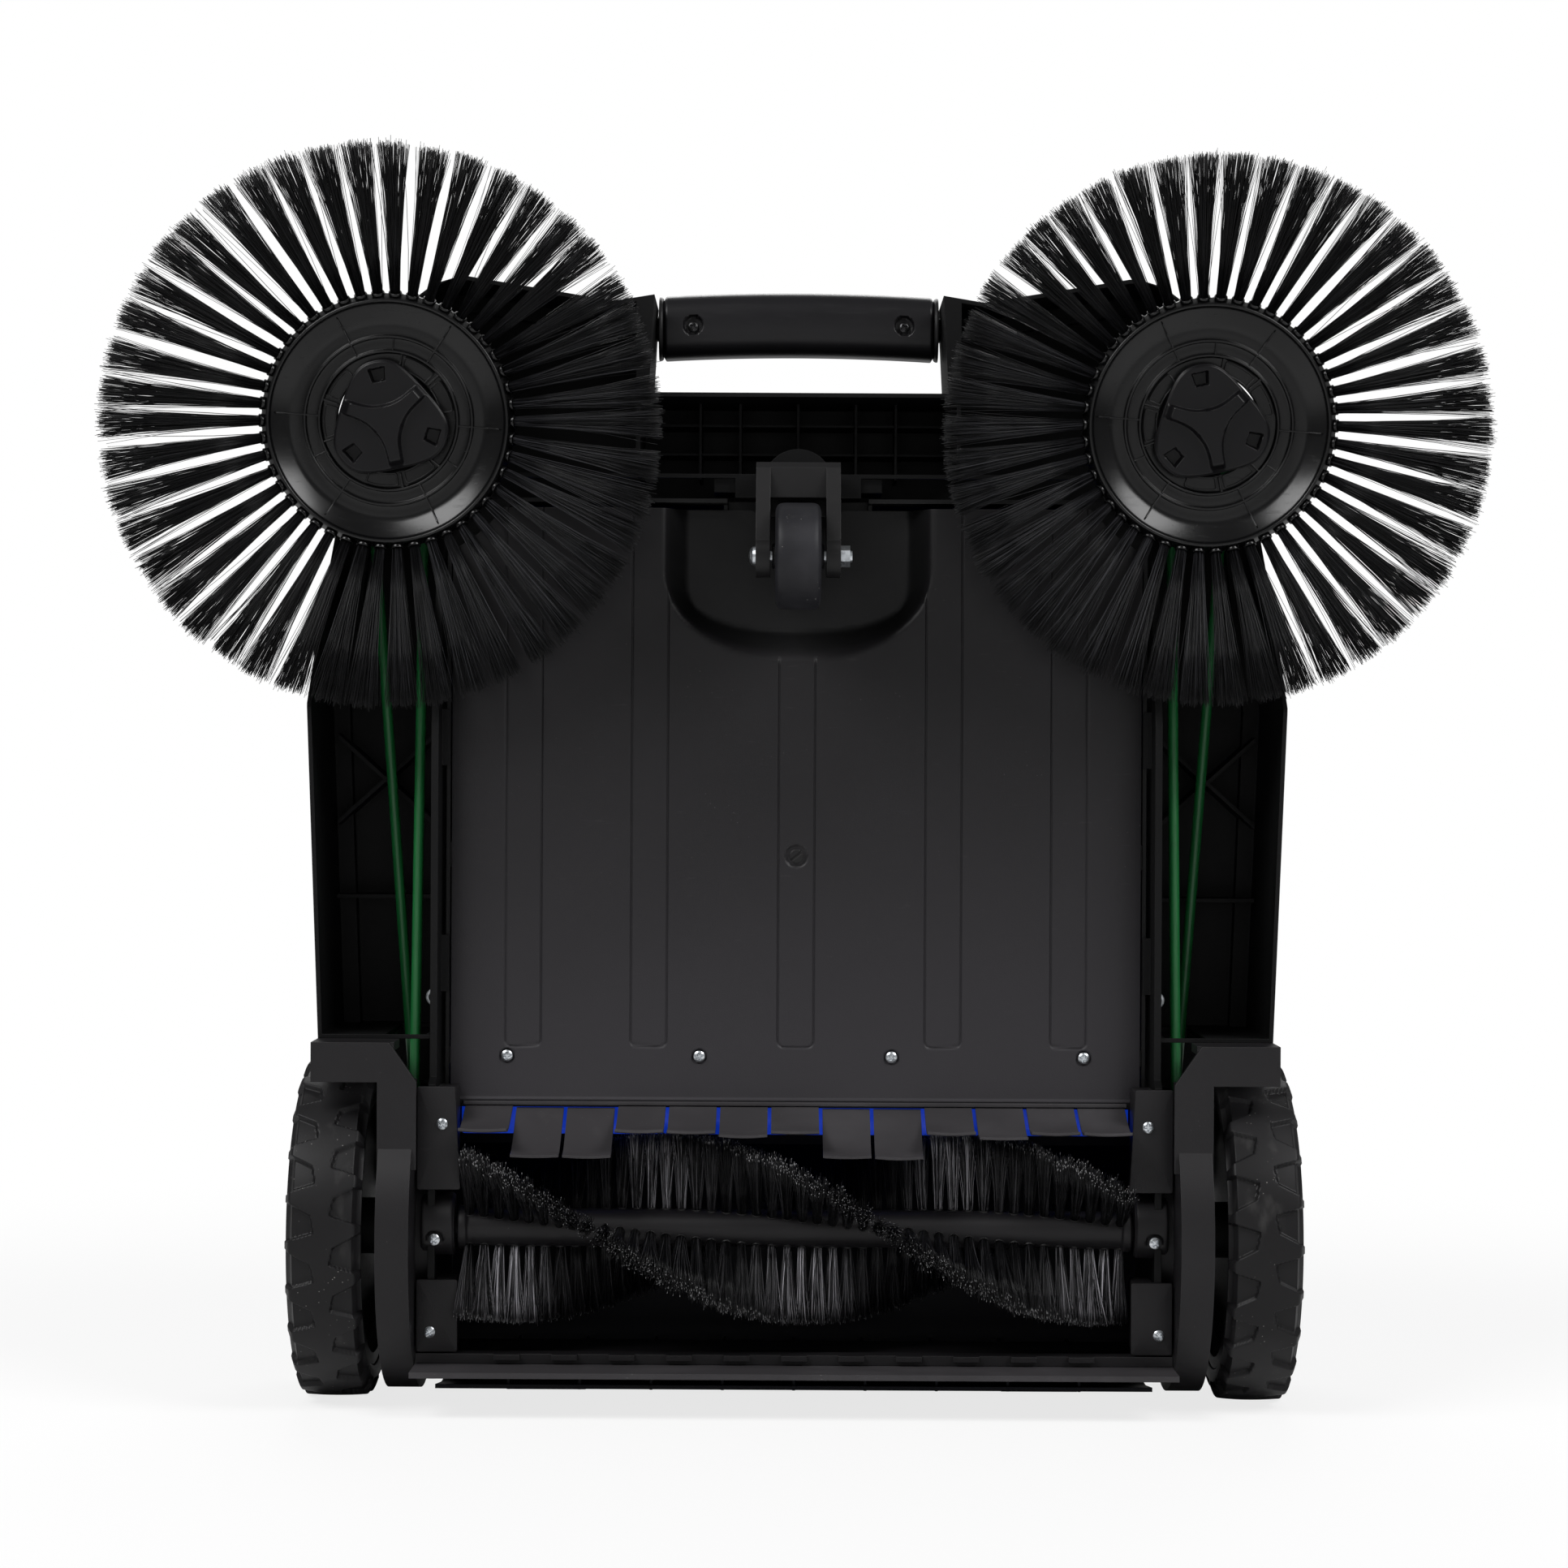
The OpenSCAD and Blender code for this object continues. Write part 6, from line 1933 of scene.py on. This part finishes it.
@dataclass
class FlapRow:
    """Thirteen rubber flaps behind the hopper's rear edge."""

    half: float = 234.0
    count: int = 13
    top_height: float = 83.5
    top_z: float = 212.0
    fall: float = 61.0
    thick: float = 2.0
    gap: float = 1.3
    hangs: tuple[Hang, ...] = (
        Hang.CURLED, Hang.STRAIGHT, Hang.STRAIGHT, Hang.CURLED, Hang.CURLED, Hang.NEARLY,
        Hang.CURLED, Hang.STRAIGHT, Hang.STRAIGHT, Hang.CURLED, Hang.NEARLY, Hang.CURLED,
        Hang.CURLED)

    def flap(self, number: int) -> Shell:
        """One flap: its middle line falls by height and swings along Z, then curls back.

        Args:
            number: Number of the flap, from 0.

        Returns:
            The flap as a closed solid.
        """
        swing, curl = self.hangs[number].value
        rng = np.random.default_rng(50 + number)
        pitch = 2 * self.half / self.count
        x0 = -self.half + number * pitch + self.gap
        rows, columns = 22, 13
        t = np.linspace(0, 1, rows)
        height = self.top_height - self.fall * t
        z = (self.top_z - swing * smoothstep(-0.3, 1.0, t)
             + curl * t ** 3 + rng.normal(0, 0.5) * t)
        line = np.stack([height, z], -1)
        along = unit(np.gradient(line, axis=0))
        normal = np.stack([-along[:, 1], along[:, 0]], -1)
        across = np.linspace(0, 1, columns)
        x = x0 + across * (pitch - 2 * self.gap)
        camber = 0.8 * np.sin(across * math.pi) * rng.uniform(0.5, 1.2)
        sheets = []
        for face in (-0.5, 0.5):
            off = face * self.thick + camber[None, :, None] * t[:, None, None]
            flat = line[:, None] + normal[:, None] * off
            sheets.append(np.concatenate([
                np.broadcast_to(x[None, :, None], (rows, columns, 1)), flat], -1))
        front, back = sheets
        outline = np.concatenate([front, back[:, ::-1]], 1)
        ends = [edge * (1 - soft) + edge.mean(1, keepdims=True) * soft
                for edge, soft in ((outline[:1], 0.25), (outline[-1:], 0.02))]
        middle = [np.broadcast_to(e.mean(1, keepdims=True), e.shape) for e in ends]
        return woven(np.concatenate([middle[0], ends[0], outline, ends[1], middle[1]]),
                     False, True)

    def bar(self) -> Shell:
        """The bead along the top of the flaps.

        Returns:
            The bead as a closed solid.
        """
        h, z, w = self.top_height - 1.0, self.top_z, self.half
        section = rounded([[h - 2, z - 1.6], [h + 1.4, z - 1.6], [h + 1.4, z + 1.2],
                           [h - 2, z + 1.2]], 0.5, 3)
        place = np.array([-w, -w, w, w])
        scale = np.array([0.0, 1.0, 1.0, 0.0])
        middle = section.mean(0)
        flat = middle + (section - middle)[None] * scale[:, None, None]
        return woven(np.concatenate([
            np.broadcast_to(place[:, None, None], (len(place), len(section), 1)), flat], -1),
            False, True)

    def build(self, shop: Workshop) -> None:
        """Makes the flaps.

        Args:
            shop: The workshop that puts meshes on bodies and dresses them.
        """
        flaps = [self.flap(number) for number in range(self.count)]
        shop.piece("rubber_flaps", join_all([*flaps, self.bar()]), Finish.FLAP, "chassis",
                   ["flap_strip"])


@dataclass
class HopperPanel:
    """The hopper's floor: long channels, screw seats, and a rounded recess for the castor."""

    half: float = 244.0
    height: float = 86.0
    rear_z: float = 213.5
    front_z: float = 633.0
    thick: float = 2.8
    channel_x: tuple[float, ...] = (-193, -104, 0, 104, 193)
    channel_half: float = 12.7
    channel_end: float = 251.4
    corner: float = 5.0
    screw_z: float = 245.0
    lock_z: float = 387.0
    recess: float = 18.0
    outer_u: tuple[float, ...] = (95, 590, 65, 2.05)
    inner_u: tuple[float, ...] = (78, 580, 33, 2.6)
    u_sizes: tuple[float, float] = (80, 58)
    seat_depth: float = 1.6
    front_cuts: tuple[tuple[float, float, float], ...] = (
        (BRUSH_AT[0], BRUSH_AT[2], 100.0), (0.0, 651.0, 36.0))

    def places(self) -> tuple[np.ndarray, np.ndarray]:
        """X and Z of a grid that is fine at the channels, screws, lock and recess.

        Its front part is drawn in to stay clear of the round cuts for brushes and castor.

        Returns:
            Two grids of the same shape, X and Z.
        """
        half, end = self.channel_half, self.channel_end
        across = [(0.0, 97.0, 2.3), (0.0, 10.0, 1.0)]
        across += [(m + s * half, 1.5, 0.5) for m in self.channel_x for s in SIDES]
        across += [(x, 6.5, 1.0) for x in FLOOR_SCREWS]
        x = graded(-self.half, self.half, 9.0, across)
        z = graded(self.rear_z, self.front_z, 11.0, [
            (577.0, 57.0, 2.3), (self.lock_z, 10.0, 1.0), (self.screw_z, 6.5, 1.0),
            (end + 2.6, 4.5, 0.6), (self.rear_z + 1.5, 1.5, 0.5)])
        x, z = np.meshgrid(x, z)
        top, drawn_from = self.front_z, 560.0
        for middle_x, middle_z, radius in self.front_cuts:
            cut = np.clip(radius ** 2 - (np.abs(x) - middle_x) ** 2, 0, None)
            top = np.minimum(np.where(cut > 0, middle_z - np.sqrt(cut), self.front_z), top)
        share = np.clip((z - drawn_from) / (self.front_z - drawn_from), 0, None)
        return x, np.where(z > drawn_from, drawn_from + share * (top - drawn_from), z)

    @staticmethod
    def bowl(x: np.ndarray, z: np.ndarray, half: float, middle: float, reach: float,
             power: float) -> np.ndarray:
        """A level that is 1 on a U: (|x|/half)^p + (max(middle - z, 0)/reach)^p = 1."""
        return ((np.abs(x) / half) ** power
                + (np.maximum(middle - z, 0) / reach) ** power) ** (1 / power)

    def depth(self, x: np.ndarray, z: np.ndarray) -> np.ndarray:
        """How far the face lies behind the panel's plain face.

        The recess falls evenly with the share a / (a + b), where a is the distance in from
        the outer U and b is the distance out from the inner U. A channel is sunk a
        little, with a fine groove along its rounded outline.

        Args:
            x: Places across the panel.
            z: Places along the panel.

        Returns:
            The depth at each place.
        """
        outer = np.maximum(1 - self.bowl(x, z, *self.outer_u), 0) * self.u_sizes[0]
        inner = np.maximum(self.bowl(x, z, *self.inner_u) - 1, 0) * self.u_sizes[1]
        share = outer / (outer + inner + 1e-6)
        depth = self.recess * np.clip(share * 1.04, 0, 1)
        plain = 1 - smoothstep(0.0, 0.03, share)
        for middle in self.channel_x:
            dx = np.abs(x - middle) - self.channel_half + self.corner
            dz = self.channel_end + self.corner - z
            out = (np.hypot(np.maximum(dx, 0), np.maximum(dz, 0))
                   + np.minimum(np.maximum(dx, dz), 0) - self.corner)
            depth += plain * (0.4 * (1 - smoothstep(-0.5, 0.5, out))
                              + 0.9 * (1 - smoothstep(0.2, 1.0, np.abs(out))))
        seats = [(at, self.screw_z, 4.7, 5.6) for at in FLOOR_SCREWS]
        for at, along, flat, edge in [*seats, (0, self.lock_z, 7.4, 8.4)]:
            out = np.hypot(x - at, z - along)
            depth += self.seat_depth * (1 - smoothstep(flat, edge, out))
        depth += 1.5 * smoothstep(self.half - 2.5, self.half, np.abs(x)) ** 2
        return depth - 1.1 * (1 - smoothstep(1.2, 2.4, z - self.rear_z))

    def shell(self) -> Shell:
        """The panel, as thick all over along the height.

        Returns:
            The panel as a closed solid.
        """
        x, z = self.places()
        height = self.height + self.depth(x, z)
        return slab(np.stack([x, height, z], -1), np.stack([x, height + self.thick, z], -1))

    def lip(self) -> Shell:
        """The bin's thin lip behind the flaps, whose painted glow makes their slits look blue.
        """
        corners = rounded([[-236, 189.5], [236, 189.5], [236, 212.5], [-236, 212.5]], 2.0, 3)
        return plateau(corners, [(0.5, 89.8), (0.0, 90.2), (0.0, 91.4)])

    def lock(self) -> Shell:
        """The quarter-turn screw: a disc over a round grid, crossed by one slot.

        Returns:
            The screw as a closed solid.
        """
        turns, rows, radius = 60, 24, 5.0
        angle = np.linspace(0, FULL_TURN, turns, endpoint=False)[:, None]
        share = np.linspace(0, 1, rows)[None]
        x, y = radius * share * np.cos(angle), radius * share * np.sin(angle)
        slot = 1 - smoothstep(0.6, 1.0, np.abs(x * math.sin(0.7) - y * math.cos(0.7)))
        face = np.stack([x, y, 0.6 - 0.5 * share ** 8 - 1.1 * slot], -1)
        back = np.array([[radius, -2.0], [4.4, -2.2], [4.4, -14.0], [0.0, -14.0]])
        return headed(Axis.upright(0, self.height, self.lock_z), angle, face, back)

    def build(self, shop: Workshop) -> None:
        """Makes the panel and its lock.

        Args:
            shop: The workshop that puts meshes on bodies and dresses them.
        """
        shop.piece("floor_panel", self.shell(), Finish.BLACK, "hopper", ["hopper_floor"],
                   material=shop.blacks[Black.PANEL], sharp=50.0)
        shop.piece("quarter_turn_screw", self.lock(), Finish.BLACK, "hopper",
                   ["floor_lock_screw"])
        shop.piece("bin_lip", self.lip(), Finish.BLUE, "hopper",
                   material=PaintedGlowPlastic().build())


@dataclass
class RollerEnds:
    """The pads and the rounded bearing cap at each end of the roller."""

    face: float = 47.5
    roller_height: float = ROLLER_HEIGHT
    cap_z: float = 128.5
    cap_r: float = 22.0
    cap_x: tuple[float, float] = (237.5, 261.0)
    screw: tuple[float, float] = (251.0, 119.5)

    def pads(self) -> Shell:
        """Two plates with softened edges, and the blocks behind them.

        Returns:
            The plates and blocks of one end.
        """
        made = []
        for corners, z0, z1 in (
                ([[232.8, 154], [263.6, 154], [263.6, 226], [237, 226]], 154.0, 226.0),
                ([[234.6, 41], [263.6, 41], [263.6, 91.5], [234.6, 91.5]], 41.0, 91.5)):
            face, back = self.face, self.face + 2.7
            made.append(plateau(rounded(corners, 2.0, 4),
                                [(1.0, face), (0.3, face + 0.15), (0.0, face + 0.8),
                                 (0.0, back)]))
            block = rounded([[236.5, z0 + 1], [250.9, z0 + 1], [250.9, z1 - 1],
                             [236.5, z1 - 1]], 1.0, 2)
            made.append(plateau(block, [(0.0, back - 0.1), (0.0, back + 32.0)]))
        return join_all(made)

    def cap(self) -> Shell:
        """The bearing cap: height = roller height - r cos a over X, with its ends drawn in.

        Returns:
            The cap as a closed solid.
        """
        x0, x1 = self.cap_x
        x = graded(x0, x1, 1.2, [(x0 + 0.8, 0.8, 0.2), (x1 - 0.8, 0.8, 0.2)])[None, :]
        angle = np.radians(np.linspace(-88, 88, 90))[:, None]
        soft = np.minimum(x - x0, x1 - x)
        radius = self.cap_r - 1.6 * (1 - smoothstep(0.0, 1.8, soft)) + 0 * angle
        z = self.cap_z - radius * np.sin(angle)
        height = self.roller_height - radius * np.cos(angle) * 0.98
        near = np.hypot(x - self.screw[0], z - self.screw[1])
        seat = 1 - smoothstep(5.4, 6.4, near)
        height = height * (1 - seat) + np.maximum(height, 49.6) * seat
        front = np.stack([x + 0 * angle, height, z], -1)
        deep = self.roller_height + 0 * height
        return slab(front, np.stack([x + 0 * angle, deep, z], -1))

    def build(self, shop: Workshop) -> None:
        """Makes the pads and caps of both ends.

        Args:
            shop: The workshop that puts meshes on bodies and dresses them.
        """
        for name, shell, replaced in (("pads", self.pads(), "roller_side_plates"),
                                      ("caps", self.cap(), "roller_bearing_caps")):
            other = Shell(shell.points * np.array([-1, 1, 1]), shell.quads, shell.triangles)
            shop.piece(f"roller_end_{name}", shell.joined(other), Finish.BLACK, "chassis",
                       [replaced], material=shop.blacks[Black.GREY])


@dataclass
class FoamSleeve:
    """The foam sleeve on the push bar, slightly fuller between its ends."""

    half: float = 160.0
    bore: float = 12.55
    radius: float = 15.6
    full: float = 0.4
    height: float = 249.0
    z: float = 158.0

    def build(self, shop: Workshop) -> None:
        """Makes the sleeve: radius + full (1 - (x/half)^6), with rounded ends.

        Args:
            shop: The workshop that puts meshes on bodies and dresses them.
        """
        x = np.linspace(-1, 1, 81)
        outer = np.stack([self.radius + self.full * (1 - x ** 6) - 1.1 * (x ** 60),
                          x * self.half], -1)
        profile = np.concatenate([outer, [[self.bore, self.half - 0.2],
                                          [self.bore, 0.2 - self.half]]])
        sleeve = shop.piece("foam_sleeve", turned(
            Axis.across(0, self.height, self.z), profile, 64), Finish.FOAM, "upper_bar",
            ["foam_grip"])


# ------------------------------------------------------------------ studio


@dataclass
class Studio:
    """The pale floor, the soft lamps, the white surround and the camera."""

    camera_at: tuple[float, float, float] = (-0.009, -2.5445, 0.438)
    lens: float = 81.06
    roll: float = math.radians(0.3)
    aim: tuple[float, float, float] = (0.0, 0.0, 0.45)
    surround: float = 0.1
    white_in_gloss: float = 0.15
    floor_half: float = 8.0

    def camera(self) -> None:
        """Makes the camera, level and square to the underside."""
        data = bpy.data.cameras.new("camera")
        data.sensor_width = 36.0
        data.lens = self.lens
        data.clip_end = 60.0
        camera = add_object("camera", data)
        camera.matrix_world = (Matrix.Translation(self.camera_at)
                               @ Matrix.Rotation(math.pi / 2, 4, "X")
                               @ Matrix.Rotation(self.roll, 4, "Z"))
        bpy.context.scene.camera = camera

    def lamp(self, name: str, at: tuple[float, float, float], size: tuple[float, float],
             watts: float) -> None:
        """Makes one rectangular lamp that faces the middle of the machine.

        Args:
            name: The lamp's name.
            at: Its place.
            size: Its width and height.
            watts: Its power.
        """
        data = bpy.data.lights.new(name, "AREA")
        data.shape = "RECTANGLE"
        data.size, data.size_y = size
        data.energy = watts
        lamp = add_object(name, data)
        lamp.location = at
        way = Vector(self.aim) - Vector(at)
        lamp.rotation_euler = way.to_track_quat("-Z", "Y").to_euler()

    def world(self) -> None:
        """Makes a soft grey surround that the camera sees as white."""
        world = bpy.data.worlds.new("surround")
        bpy.context.scene.world = world
        nodes = Nodes(world, "ShaderNodeOutputWorld")
        soft, white = (
            nodes.node("ShaderNodeBackground", {}, {"Color": WHITE, "Strength": strength})
            for strength in (self.surround, 1.0))
        nodes.put(nodes.output, nodes.node("ShaderNodeMixShader", {}, {
            0: nodes.white_for_camera(self.white_in_gloss), 1: soft, 2: white}))

    def floor(self) -> None:
        """Makes the floor: a plain pale sheet that keeps a faint shadow."""
        half = self.floor_half
        mesh = bpy.data.meshes.new("floor")
        corners = [(-half, -half, 0), (half, -half, 0), (half, half, 0), (-half, half, 0)]
        mesh.from_pydata(corners, [], [(0, 1, 2, 3)])
        floor = add_object("floor", mesh)
        shader = Shader("pale_floor")
        shader.dress(Base_Color=(0.9, 0.9, 0.9), Roughness=0.8, Specular_IOR_Level=0.1)
        plain = Value(shader, shader.surface.outputs[0])
        glow = shader.node("ShaderNodeEmission", {}, {"Strength": 1.0})
        away = shader.node("ShaderNodeVectorMath", {"operation": "LENGTH"},
                           {0: shader.place()}, "Value")
        share = shader.white_for_camera(0.0) * (away.step(0.6, 1.5) * 0.22 + 0.78)
        shader.put(shader.output, shader.node("ShaderNodeMixShader", {},
                                              {0: share, 1: plain, 2: glow}))
        mesh.materials.append(shader.material)

    def build(self) -> None:
        """Makes the whole studio."""
        scene = bpy.context.scene
        scene.view_settings.view_transform = "Standard"
        self.camera()
        self.world()
        self.floor()
        for name, at, size, watts in (
                ("top_left", (-1.7, -1.6, 2.4), (1.6, 1.2), 66.0),
                ("top_right", (1.8, -1.4, 2.2), (1.2, 1.2), 50.0),
                ("front_fill", (0.2, -3.4, 0.6), (2.6, 0.9), 5.0),
                ("back_top", (0.0, 2.2, 2.4), (2.4, 1.2), 40.0)):
            self.lamp(name, at, size, watts)


def main() -> None:
    """Builds the studio and every piece in order."""
    logging.basicConfig(level=logging.INFO, format="%(message)s")
    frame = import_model()
    Studio().build()
    shop = Workshop(frame)
    paired = [part for side, tip_r in zip(SIDES, (194.5, 189.5))
              for part in (SideBrush(side, tip_r=tip_r), TreadTyre(side), DriveBelt(side))]
    for part in (*paired, SweepingRoller(), CastorWheel(), Fasteners(), CarryGrip(),
                 FlapRow(), HopperPanel(), RollerEnds(), FoamSleeve()):
        part.build(shop)


if __name__ == "__main__":
    main()
